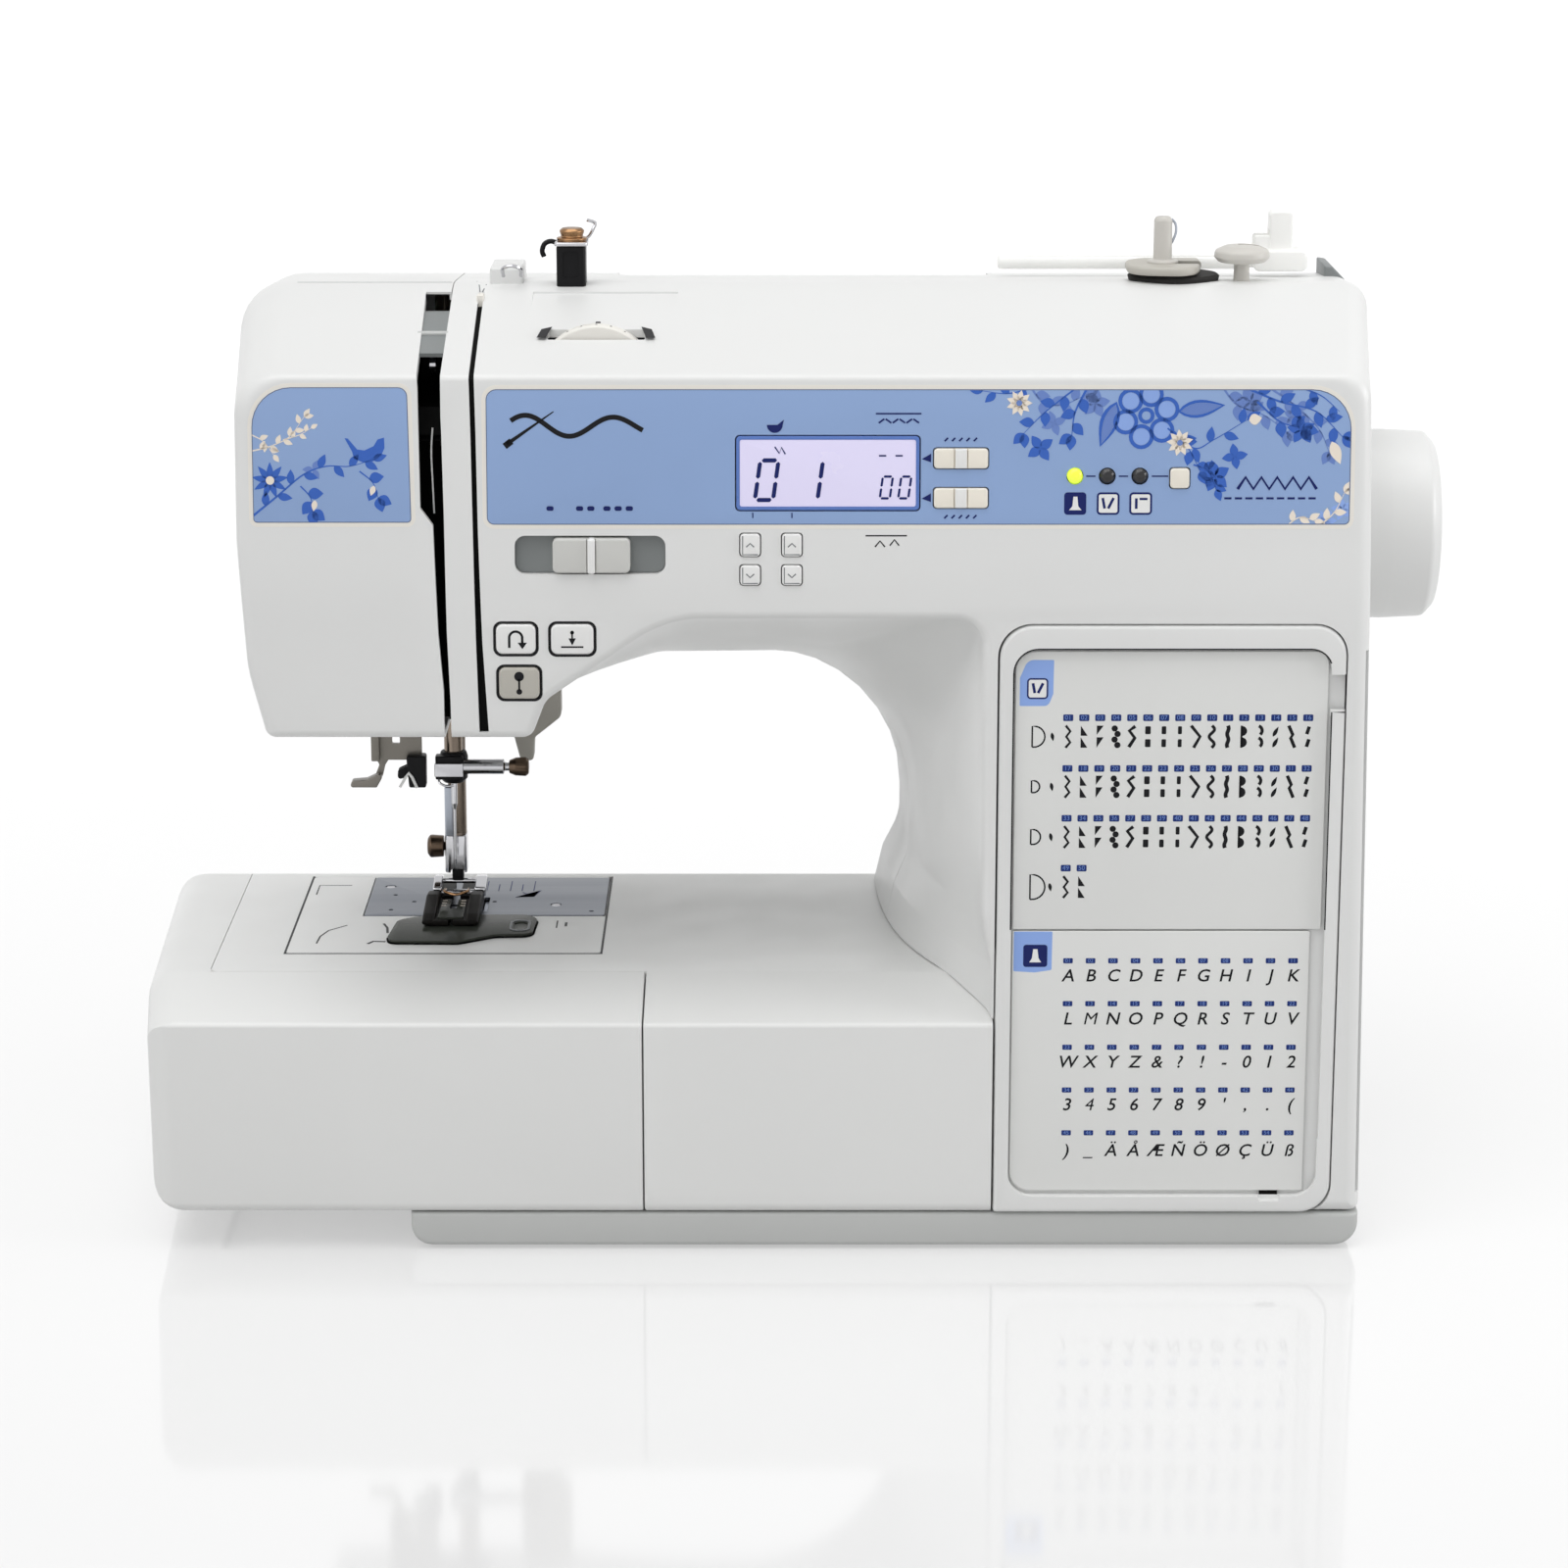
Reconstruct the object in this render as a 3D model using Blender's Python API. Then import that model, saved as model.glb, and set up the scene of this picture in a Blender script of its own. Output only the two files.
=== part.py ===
"""Household computerised sewing machine, modelled as separate pieces in millimetres and written in metres.

+X runs from the needle end to the handwheel, -Y is the operator's side, +Z is up.
The origin is on the table, under the middle of the machine.
"""

import math

import bmesh
import bpy
from mathutils import Matrix, Vector

MM = 0.001
GAP = 0.3
WALL = 2.5

# Driving dimensions, in millimetres.
FRONT = -89.0
ARM_REAR = 57.0
SPLIT = 6.0
COLUMN_LEFT = 61.7
FACE_BREAK = 213.0
FACE_TOP = 278.6
FACE_LEAN = 0.0884
BED_TOP = 82.0
BED_REAR = 64.0
BED_BOTTOM = 12.5
HEAD_BOTTOM = 168.0
HEAD_JOIN = -108.4
SLOT_LEFT = -115.3
TOP = 300.0

# The main axes: the handwheel turns about X through (SHAFT_Y, SHAFT_Z).
SHAFT_Y = 6.0
SHAFT_Z = 216.0
LOWER_Z = 40.0
MOTOR_Y = 52.0
MOTOR_Z = 75.0
NEEDLE_X = -114.4
NEEDLE_Y = 20.0
PRESSER_Y = 32.0
HOOK_X = -109.6
HOOK_Y = -9.0
DIAL_X = -62.0
DIAL_Z = 271.5

# The controls' places on the face, each x0, x1, z0, z1.
BUTTONS = {
    "reverse_button": (-92.2, -80.1, 194.0, 203.2),
    "needle_position_button": (-75.4, -62.4, 193.9, 203.2),
    "start_stop_button": (-91.5, -79.1, 179.9, 189.7),
}
KEYS = {
    "stitch_tens_up_key": (-17.5, -11.5, 224.2, 231.0),
    "stitch_ones_up_key": (-4.8, 1.2, 224.2, 231.0),
    "stitch_tens_down_key": (-17.5, -11.5, 215.4, 221.4),
    "stitch_ones_down_key": (-4.8, 1.2, 215.4, 221.4),
    "mode_key": (113.0, 118.8, 244.9, 250.9),
    "stitch_length_key": (41.3, 57.7, 250.9, 256.9),
    "stitch_width_key": (41.3, 57.7, 238.9, 244.9),
}
LED_X = (84.1, 93.9, 103.8)
LED_Z = 248.5

BEYOND = 400.0


# ---- Outlines -------------------------------------------------------------------------------


def moved_corner(before, here, after, distance):
    """The corner of an anticlockwise outline, moved inwards by a distance from both of its sides."""
    first = Vector((here[0] - before[0], here[1] - before[1])).normalized()
    second = Vector((after[0] - here[0], after[1] - here[1])).normalized()
    normal_a = Vector((-first.y, first.x))
    normal_b = Vector((-second.y, second.x))
    shift = (normal_a + normal_b) * (distance / (1 + normal_a.dot(normal_b)))
    return here[0] + shift.x, here[1] + shift.y


def inset(corners, distance):
    """Corners (u, v, radius) of an anticlockwise outline, moved inwards. A negative distance grows it."""
    result = []
    for i, here in enumerate(corners):
        before = corners[i - 1]
        after = corners[(i + 1) % len(corners)]
        u, v = moved_corner(before, here, after, distance)
        radius = max(here[2] - distance, 0.4) if here[2] else 0.0
        result.append((u, v, radius))
    return result


def rounded(corners, steps=4):
    """An outline with an arc at each corner (u, v, radius)."""
    points = []
    for i, (u, v, radius) in enumerate(corners):
        here = Vector((u, v))
        if radius <= 0:
            points.append((u, v))
            continue
        back = (Vector(corners[i - 1][:2]) - here).normalized()
        on = (Vector(corners[(i + 1) % len(corners)][:2]) - here).normalized()
        half = back.angle(on) / 2
        centre = here + (back + on).normalized() * (radius / math.sin(half))
        start = here + back * (radius / math.tan(half)) - centre
        end = here + on * (radius / math.tan(half)) - centre
        turn = start.angle_signed(end)
        for k in range(steps + 1):
            angle = -turn * k / steps
            x = start.x * math.cos(angle) - start.y * math.sin(angle)
            y = start.x * math.sin(angle) + start.y * math.cos(angle)
            points.append((centre.x + x, centre.y + y))
    return points


def rectangle(u0, v0, u1, v1, radius=0.0):
    return [(u0, v0, radius), (u1, v0, radius), (u1, v1, radius), (u0, v1, radius)]


def circle(u, v, radius, sides):
    turns = [2 * math.pi * k / sides for k in range(sides)]
    return [(u + radius * math.cos(t), v + radius * math.sin(t)) for t in turns]


# ---- Solids: bmesh in millimetres ---------------------------------------------------------------


def place(axis, u, v, along):
    if axis == "X":
        return (along, u, v)
    if axis == "Y":
        return (u, along, v)
    return (u, v, along)


def loft(rings):
    """A closed solid through rings of points, which all have the same number of points."""
    mesh = bmesh.new()
    loops = [[mesh.verts.new(point) for point in ring] for ring in rings]
    count = len(loops[0])
    for low, high in zip(loops, loops[1:]):
        for i in range(count):
            j = (i + 1) % count
            mesh.faces.new((low[i], low[j], high[j], high[i]))
    mesh.faces.new(loops[0])
    mesh.faces.new(loops[-1])
    return solid(mesh)


def solid(mesh):
    bmesh.ops.recalc_face_normals(mesh, faces=mesh.faces)
    data = bpy.data.meshes.new("solid")
    mesh.to_mesh(data)
    mesh.free()
    thing = bpy.data.objects.new("solid", data)
    bpy.context.scene.collection.objects.link(thing)
    return thing


def prism(outline, axis, low, high):
    """An outline extruded along an axis. The outline is (y, z), (x, z) or (x, y) for X, Y or Z."""
    rings = [[place(axis, u, v, along) for u, v in outline] for along in (low, high)]
    return loft(rings)


def box(x0, x1, y0, y1, z0, z1, radius=0.0, axis="Z", steps=3):
    spans = {"X": (y0, z0, y1, z1, x0, x1), "Y": (x0, z0, x1, z1, y0, y1), "Z": (x0, y0, x1, y1, z0, z1)}
    u0, v0, u1, v1, low, high = spans[axis]
    return prism(rounded(rectangle(u0, v0, u1, v1, radius), steps), axis, low, high)


def rod(axis, u, v, low, high, radius, sides=24):
    return prism(circle(u, v, radius, sides), axis, low, high)


def turned(axis, u, v, profile, sides=28):
    """A stack of round sections: profile is (along, radius)."""
    rings = []
    for along, radius in profile:
        rings.append([place(axis, a, b, along) for a, b in circle(u, v, radius, sides)])
    return loft(rings)


def combine(first, others, operation):
    for other in others:
        step = first.modifiers.new("join", "BOOLEAN")
        step.operation = operation
        step.solver = "EXACT"
        step.object = other
        graph = bpy.context.evaluated_depsgraph_get()
        data = bpy.data.meshes.new_from_object(first.evaluated_get(graph))
        first.modifiers.clear()
        old = first.data
        first.data = data
        bpy.data.meshes.remove(old)
        bpy.data.objects.remove(other)
    return first


def cut(first, *others):
    return combine(first, others, "DIFFERENCE")


def join(first, *others):
    return combine(first, others, "UNION")


def common(first, *others):
    return combine(first, others, "INTERSECT")


def look(name, colour, roughness, metallic=0.0):
    material = bpy.data.materials.new(name)
    material.use_nodes = True
    shader = material.node_tree.nodes["Principled BSDF"]
    shader.inputs["Base Color"].default_value = (*colour, 1.0)
    shader.inputs["Roughness"].default_value = roughness
    shader.inputs["Metallic"].default_value = metallic
    return material


def finish(thing, name, material, origin=(0.0, 0.0, 0.0)):
    """Turns a solid in millimetres into a named piece in metres, with its origin on its joint's axis."""
    shift = Matrix.Translation(-Vector(origin))
    thing.data.transform(Matrix.Scale(MM, 4) @ shift)
    thing.location = Vector(origin) * MM
    thing.name = name
    thing.data.name = name
    thing.data.materials.clear()
    thing.data.materials.append(material)
    thing.data.shade_smooth()
    thing.data.set_sharp_from_angle(angle=math.radians(30))
    return thing


# ---- Shared forms ---------------------------------------------------------------------------------


def face_y(z):
    """Where the front face is at a height: upright below the break, leaning back above it."""
    return FRONT + max(0.0, z - FACE_BREAK) * FACE_LEAN


def on_face(x0, x1, z0, z1, out, depth):
    """A block across the front face, standing out of it and reaching into it."""
    outline = [
        (face_y(z0) - out, z0),
        (face_y(z0) + depth, z0),
        (face_y(z1) + depth, z1),
        (face_y(z1) - out, z1),
    ]
    return prism(outline, "X", x0, x1)


def arm_section(distance):
    corners = [
        (FRONT, BED_BOTTOM, 1.0),
        (ARM_REAR, BED_BOTTOM, 1.0),
        (ARM_REAR, 280.0, 12.0),
        (35.0, 295.0, 12.0),
        (-20.0, TOP, 30.0),
        (FRONT + (FACE_TOP - FACE_BREAK) * FACE_LEAN, FACE_TOP, 4.0),
        (FRONT, FACE_BREAK, 0.0),
    ]
    return rounded(inset(corners, distance))


def throat_rings(grow):
    """The space under the arm: a wide rounded opening in front that closes in to a rounder one behind."""
    front = [
        (-130.0, 60.0, 0.0),
        (62.0, 60.0, 0.0),
        (60.5, 84.0, 12.0),
        (57.0, 110.0, 14.0),
        (56.4, 204.0, 8.0),
        (-40.0, 204.0, 35.0),
        (-77.5, 178.5, 8.0),
        (-82.0, HEAD_BOTTOM, 3.0),
        (-130.0, HEAD_BOTTOM, 0.0),
    ]
    rear = [
        (-130.0, 60.0, 0.0),
        (24.0, 60.0, 0.0),
        (27.0, 88.0, 12.0),
        (34.8, 105.0, 14.0),
        (34.8, 172.0, 56.0),
        (-45.0, 171.0, 10.0),
        (-77.0, 169.0, 5.0),
        (-84.0, HEAD_BOTTOM, 2.0),
        (-130.0, HEAD_BOTTOM, 0.0),
    ]
    stations = [(-100, 0.0), (-84, 0.0), (-72, 0.12), (-55, 0.38), (-37, 0.6), (-12, 0.82), (10, 0.94),
                (100, 1.0)]
    first = rounded(inset(front, -grow), 5)
    last = rounded(inset(rear, -grow), 5)
    rings = []
    for y, share in stations:
        ring = [(a[0] + (b[0] - a[0]) * share, y, a[1] + (b[1] - a[1]) * share) for a, b in zip(first, last)]
        rings.append(ring)
    return rings


def body_block(distance):
    """The arm and the column as one block, moved inwards by a distance."""
    left = -130.0 if distance else HEAD_JOIN
    corners = [
        (left, BED_BOTTOM + distance, 0.0),
        (177.8 - distance, BED_BOTTOM + distance, 3.0),
        (173.4 - distance, TOP - distance, 6.0),
        (left, TOP - distance, 0.0),
    ]
    block = prism(rounded(corners), "Y", -100.0, 100.0)
    block = common(block, prism(arm_section(distance), "X", -150.0, 200.0))
    floor = box(-200, COLUMN_LEFT + distance, -120, 120, 0, BED_TOP + GAP + distance)
    return cut(block, loft(throat_rings(distance)), floor)


def motor_bulge(distance):
    corners = [
        (20.0, BED_BOTTOM + distance, 0.0),
        (-FRONT - distance, BED_BOTTOM + distance, 4.0),
        (-FRONT - distance, 118.0, 14.0),
        (ARM_REAR - distance, 150.0, 8.0),
        (20.0, 150.0, 0.0),
    ]
    return prism(rounded(corners), "X", COLUMN_LEFT + distance, 176.0 - distance)


# ---- Casing ---------------------------------------------------------------------------------------


def front_openings():
    """The places in the front cover for the panel, keys, display, slider and buttons."""
    cuts = [on_face(-94.8, 168.0, 233.5, 275.0, 5.0, 1.4)]
    cuts.append(on_face(-19.1, 37.3, 237.8, 261.0, 5.0, 8.0))
    cuts.append(on_face(-86.0, -40.5, 218.8, 230.2, 5.0, 8.0))
    for x0, x1, z0, z1 in BUTTONS.values():
        cuts.append(on_face(x0 - 0.4, x1 + 0.4, z0 - 0.4, z1 + 0.4, 5.0, 8.0))
    for x0, x1, z0, z1 in KEYS.values():
        cuts.append(on_face(x0 - GAP, x1 + GAP, z0 - GAP, z1 + GAP, 5.0, 8.0))
    for x in LED_X:
        cuts.append(rod("Y", x, LED_Z, -100, -78, 2.7, 16))
    return cuts


def casing(front):
    """The front or rear half of the arm and column, as a hollow shell that is open at the split."""
    low, high = (-150.0, SPLIT - GAP / 2) if front else (SPLIT + GAP / 2, 150.0)
    outer = body_block(0.0)
    inner = body_block(WALL)
    if not front:
        outer = join(outer, motor_bulge(0.0))
        inner = join(inner, motor_bulge(WALL))
        inner = cut(inner, box(-60.5, 64.5, 17.5, 49.5, 283.0, 310))
    half = box(-BEYOND, BEYOND, low, high, -BEYOND, BEYOND)
    outer = common(outer, half)
    if front:
        outer = cut(outer, box(COLUMN_LEFT - GAP, 170.5, -120, -84.5, 5, 203.2, 9.0, "Y"))
        outer = cut(outer, box(168.0, 190.0, -87.7, -85.8, 23.7, 192.3))
        inner = cut(inner, box(55.0, 173.0, -120, -81.9, 5, 206.0))
    shell = cut(outer, inner)
    shell = cut(shell, rod("X", SHAFT_Y, SHAFT_Z, 160, 190, 7.0))
    shell = cut(shell, box(50, 70, -20, 50, 24, 76))
    shell = cut(shell, box(-112, -96.5, -8, 48, 150, 176))
    return shell


def make_front_cover(material):
    shell = casing(True)
    shell = cut(shell, *front_openings())
    shell = cut(shell, box(-79.5, -44.5, -58.9, -52.1, 270, 310))
    groove = box(-99.7, -97.7, -120, -60, 160, 310)
    shell = cut(shell, groove)
    return finish(shell, "front_cover", material)


def make_rear_cover(material):
    shell = casing(False)
    shell = cut(shell, box(-99.0, -86.0, 45.5, 70, 150, 181))
    shell = cut(shell, box(-58, 62, 20.0, 47.0, 285.5, 310))
    shell = cut(shell, box(165, 190, 24, 62, 36, 84))
    for k in range(7):
        shell = cut(shell, box(80, 158, 80, 95, 40 + 9 * k, 44 + 9 * k))
    return finish(shell, "rear_cover", material)


def make_face_cover(material):
    def block(distance):
        right = HEAD_JOIN - GAP if not distance else -90.0
        corners = [
            (-165.5 + distance, HEAD_BOTTOM + distance, 4.0),
            (right, HEAD_BOTTOM + distance, 0.0),
            (right, TOP - distance, 0.0),
            (-170.8 + distance, TOP - distance, 22.0 - distance),
            (-171.4 + distance, 226.0, 0.0),
        ]
        piece = prism(rounded(corners), "Y", -100, 100)
        return common(piece, prism(arm_section(distance), "X", -200, -50))

    shell = cut(block(0.0), block(WALL))
    shell = cut(shell, box(SLOT_LEFT, -100, -120, -34, 150, 310))
    shell = cut(shell, box(-142, -100, -8, 48, 150, 176))
    return finish(shell, "face_cover", material)


# ---- Bed ------------------------------------------------------------------------------------------


def bed_section(distance):
    corners = [
        (FRONT, BED_BOTTOM, 3.0),
        (BED_REAR, BED_BOTTOM, 3.0),
        (BED_REAR, BED_TOP, 3.0),
        (-54.7, BED_TOP, 12.0),
        (FRONT, 75.2, 5.0),
    ]
    return rounded(inset(corners, distance))


def make_free_arm(material):
    def block(distance):
        across = prism(bed_section(distance), "X", -BEYOND, BEYOND)
        arm = box(-188 + distance, COLUMN_LEFT - GAP, -54.7 + distance, BED_REAR, 20 + distance, 90)
        front = box(-48.4 + distance, COLUMN_LEFT - GAP, FRONT, -50, BED_BOTTOM, 90)
        return common(across, join(arm, front))

    outer = block(0.0)
    inner = block(WALL)
    shell = cut(outer, inner)
    shell = cut(shell, box(40, 70, -52, 60, 22.5, 78.0))
    shell = cut(shell, box(-166.3, -63.2, -35.2, 56.9, 79.8, 90, 2.0))
    shell = cut(shell, box(-160, -70, -30, 52, 70, 90, 2.0))
    return finish(shell, "free_arm_cover", material)


def make_attachment(material):
    def block(distance):
        right = -48.7 if not distance else -30.0
        corners = [(-202.4 + distance, BED_BOTTOM + distance, 8.0), (right, BED_BOTTOM + distance, 0.0)]
        corners += [(right, 90, 0.0), (-210.5 + distance, 90, 0.0), (-210.5 + distance, 60.0, 0.0)]
        side = prism(rounded(corners), "Y", -100, 100)
        plan = [(-203.6 + distance, -95.0, 0.0), (right, -95.0, 0.0), (right, BED_REAR - distance, 0.0)]
        plan += [(-209.5 + distance, BED_REAR - distance, 8.0), (-209.5 + distance, 0.0, 40.0)]
        seen = prism(rounded(plan), "Z", 0, 100)
        return common(side, seen, prism(bed_section(distance), "X", -BEYOND, BEYOND))

    outer = cut(block(0.0), box(-188 - GAP, 0, -54.7 - GAP, 100, 0, 100))
    inner = block(WALL)
    inner = cut(inner, box(-188 - GAP - WALL, -178, -54.7 - GAP - WALL, 100, 0, 100))
    inner = cut(inner, box(-51.2, 0, -100, 100, 0, 100))
    shell = cut(outer, inner)
    shell = cut(shell, box(-180, -60, -70, -40, 20, 70))
    return finish(shell, "flatbed_attachment", material, (-120, -60, BED_BOTTOM))


def make_plate_cover(material):
    plate = box(-166, -63.5, -34.9, 56.6, 80.1, BED_TOP + 0.1, 1.8)
    skirt = box(-159.6, -70.4, -29.6, 51.6, 76, 80.5, 1.8)
    plate = join(plate, skirt)
    plate = cut(plate, box(-156, -74, -27.5, 48, 70, 80.0, 1.0))
    plate = cut(plate, box(-144.9, -60, 8.0, 55.3, 81.0, 90))
    plate = cut(plate, box(-136, -84, 8.6, 52, 70, 90))
    plate = cut(plate, box(-131.5, -87.8, -24, 8.0, 70, 90, 6.0))
    return finish(plate, "needle_plate_cover", material)


def make_needle_plate(material):
    plate = box(-144.5, -63.8, 8.3, 55.0, 81.3, BED_TOP + 0.3, 0.8)
    plate = cut(plate, box(NEEDLE_X - 3.6, NEEDLE_X + 3.6, NEEDLE_Y - 1.2, NEEDLE_Y + 1.2, 70, 90, 1.1))
    for x in (-121.0, -111.0):
        plate = cut(plate, box(x, x + 3.4, 24, 36, 70, 90, 0.8))
    for x in (-123.6, -105.6):
        plate = cut(plate, box(x, x + 2.0, 13, 30, 70, 90, 0.8))
    return finish(plate, "needle_plate", material)


def make_bobbin_cover(material):
    cover = box(-133.6, -85.7, -26, 7.9, 82.4, 83.2, 7.0, steps=5)
    cover = join(cover, box(-92.5, -89.5, -14, -4, 83.0, 83.9, 1.0))
    return finish(cover, "bobbin_cover", material, (HOOK_X, HOOK_Y, 82.4))


def make_base(material):
    corners = [(-122.3, 3.1, 5.0), (165.0, 3.1, 0.0), (177.9, 3.1, 8.0), (177.9, BED_BOTTOM - GAP, 0.0)]
    corners += [(-122.3, BED_BOTTOM - GAP, 2.0)]
    tray = prism(rounded(corners), "Y", -87.5, 87.5)
    tray = cut(tray, box(-200, COLUMN_LEFT, 62.5, 100, 0, 20))
    tray = cut(tray, box(-119, 174.5, -84.5, 59.5, 6.0, 20, 3.0))
    return finish(tray, "base_plate", material)


def make_feet(material):
    for k, (x, y) in enumerate(((-104, -70), (156, -70), (-104, 48), (156, 68)), 1):
        foot = turned("Z", x, y, [(0.0, 8.2), (0.8, 9.0), (2.8, 9.0)])
        finish(foot, f"rubber_foot_{k}", material)


# ---- Front face -----------------------------------------------------------------------------------


def make_panel(material):
    panel = on_face(-94.5, 167.7, 233.8, 274.7, 0.1, 1.1)
    panel = cut(panel, on_face(-19.1, 37.3, 237.8, 261.0, 5.0, 8.0))
    for name in ("mode_key", "stitch_length_key", "stitch_width_key"):
        x0, x1, z0, z1 = KEYS[name]
        panel = cut(panel, on_face(x0 - GAP, x1 + GAP, z0 - GAP, z1 + GAP, 5.0, 8.0))
    for x in LED_X:
        panel = cut(panel, rod("Y", x, LED_Z, -100, -78, 2.7, 16))
    return finish(panel, "control_panel", material)


def make_display(material):
    screen = on_face(-18.7, 36.9, 238.2, 260.6, 0.3, 4.6)
    return finish(screen, "lcd_display", material)


def make_leds(material):
    bar = on_face(79.5, 108.4, 245.2, 251.8, -4.2, 6.0)
    for x in LED_X:
        bar = join(bar, rod("Y", x, LED_Z, -86.3, -81.0, 2.3, 16))
    return finish(bar, "mode_lights", material)


def make_keys(material):
    for name, (x0, x1, z0, z1) in KEYS.items():
        middle = ((x0 + x1) / 2, face_y((z0 + z1) / 2), (z0 + z1) / 2)
        key = on_face(x0, x1, z0, z1, 0.9, 4.2)
        if x1 - x0 > 10:
            key = cut(key, on_face(middle[0] - 0.6, middle[0] + 0.6, z0 - 1, z1 + 1, 2.0, -0.4))
            middle = (middle[0], face_y(z0) + 2.0, middle[2])
        finish(key, name, material, middle)


def make_buttons(light, dark):
    for name, (x0, x1, z0, z1) in BUTTONS.items():
        button = box(x0, x1, FRONT - 0.9, FRONT + 4.5, z0, z1, 1.8, "Y")
        middle = ((x0 + x1) / 2, FRONT, (z0 + z1) / 2)
        finish(button, name, dark if name == "start_stop_button" else light, middle)


def make_speed_slider(material):
    knob = on_face(-74.6, -51.0, 219.3, 229.7, 1.8, 3.2)
    knob = join(knob, on_face(-64.3, -61.3, 219.9, 229.1, 2.8, 1.0))
    knob = join(knob, on_face(-97.0, -29.5, 216.8, 232.0, -3.0, 4.2))
    return finish(knob, "speed_slider", material, (-62.8, face_y(224.5), 224.5))


def make_card_holder(material):
    tray = box(COLUMN_LEFT + 0.1, 170.1, FRONT, -84.9, 12.2 + GAP, 202.8, 9.0, "Y")
    pocket = box(66.6, 163.4, -100, -85.9, 18.4, 195.0, 3.0, "Y")
    tray = cut(tray, pocket)
    tray = cut(tray, box(160, 175, -87.6, -85.9, 24.0, 192.0))
    tray = cut(tray, box(163.0, 166.6, -100, -85.9, 176.0, 187.0, 1.2, "Y"))
    tray = cut(tray, box(144.6, 150.0, -100, -87.4, 16.0, 18.8))
    return finish(tray, "card_holder", material)


def make_cards(material):
    upper = box(67.0, 162.9, -87.3, -86.2, 105.6, 191.6, 1.0, "Y")
    finish(upper, "stitch_card_upper", material, (67, -87, 150))
    lower = box(67.0, 159.6, -87.3, -86.2, 24.6, 105.0, 1.0, "Y")
    finish(lower, "stitch_card_lower", material, (67, -87, 65))


# ---- Top ------------------------------------------------------------------------------------------


def make_tension_dial(material):
    y0, y1 = -58.3, -52.7
    wheel = turned("Y", DIAL_X, DIAL_Z, [(y0, 19.0), (y0 + 1, 20.0), (y1 - 1, 20.0), (y1, 19.0)], 40)
    wheel = cut(wheel, rod("Y", DIAL_X, DIAL_Z, -70, -40, 3.0, 16))
    return finish(wheel, "tension_dial", material, (DIAL_X, -55.5, DIAL_Z))


def make_pretension(material):
    block = box(-75.5, -66.6, -23, -12, TOP + 0.6, 309.5, 0.8, "Y")
    line = [(309.0, 5.2), (310.4, 5.2), (310.5, 3.0), (311.4, 3.0), (311.5, 4.4), (313.4, 4.0)]
    disc = turned("Z", -71, -17.5, line, 20)
    hook = box(-80.0, -70.0, -18.5, -16.5, 310.0, 311.0)
    hook = join(hook, box(-80.0, -78.8, -18.5, -16.5, 305.8, 310.5))
    return finish(join(block, disc, hook), "pretension_guide", material)


def make_winder(white, rubber):
    seat = turned("Z", 118.5, -8.0, [(TOP + 0.4, 14.0), (TOP + 1.4, 14.6), (302.6, 12.5), (302.9, 5.0)], 32)
    seat = cut(seat, box(112.0, 128.6, -11.6, -4.4, 290, 320, 3.5))
    finish(seat, "bobbin_winder_seat", rubber)
    line = [(TOP + 0.6, 3.0), (303.4, 3.0), (303.5, 5.6), (305.0, 5.6), (305.1, 3.0), (317.6, 3.0),
            (318.6, 2.2)]
    shaft = turned("Z", 116.0, -8.0, line)
    finish(shaft, "bobbin_winder_shaft", white, (116.0, -8.0, 301.0))
    line = [(TOP + 0.4, 2.2), (304.0, 2.2), (304.1, 8.6), (306.5, 8.6), (309.8, 5.0)]
    stem = turned("Z", 141.0, -10.0, line)
    finish(stem, "winder_stopper", white)


def make_spool_pin(white):
    block = box(146.5, 164.0, 6.4, 18.0, 298.0, 304.6, 1.5, "Y")
    block = join(block, box(152.0, 159.0, 8.5, 15.5, 304.0, 316.5, 1.5, "Y"))
    block = cut(block, box(140, 152.6, 9.2, 14.8, 290, 310))
    block = finish(block, "spool_pin_holder", white)
    pin = rod("X", 12.0, 300.6, 64.5, 151.4, 2.4, 16)
    finish(pin, "spool_pin", white, (150.0, 12.0, 300.6))


def make_handle(material):
    grip = box(-54, 58, 22, 33, 287.0, 292.5, 2.0, "X")
    for x in (-56.5, 53.5):
        grip = join(grip, box(x, x + 6.5, 22.5, 44.5, 287.4, 292.0, 1.0, "X"))
    return finish(grip, "carry_handle", material, (0, 42.0, 289.7))


# ---- Right end ------------------------------------------------------------------------------------


def make_handwheel(material):
    profile = [(175.9, 27.5), (176.6, 30.3), (190.0, 30.7), (203.6, 30.0), (206.4, 27.4)]
    wheel = turned("X", SHAFT_Y, SHAFT_Z, profile, 48)
    for k in range(12):
        angle = 2 * math.pi * k / 12
        y = SHAFT_Y + 31.6 * math.cos(angle)
        z = SHAFT_Z + 31.6 * math.sin(angle)
        wheel = cut(wheel, rod("X", y, z, 180, 210, 2.2, 8))
    wheel = cut(wheel, rod("X", SHAFT_Y, SHAFT_Z, 160, 192, 5.3))
    return finish(wheel, "handwheel", material, (190, SHAFT_Y, SHAFT_Z))


def make_socket_panel(material):
    panel = box(171.5, 179.0, 24.6, 61.4, 36.6, 83.4)
    panel = cut(panel, box(173.6, 190, 40, 58, 42, 54, 4.0, "X"))
    panel = cut(panel, box(173.6, 190, 30, 37, 42, 52, 1.0, "X"))
    panel = cut(panel, box(160, 190, 34.6, 51.4, 60.6, 79.4, 1.0, "X"))
    for y in (45.5, 52.5):
        panel = join(panel, rod("X", y, 48.0, 173.0, 178.0, 1.2, 10))
    return finish(panel, "socket_panel", material)


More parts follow.
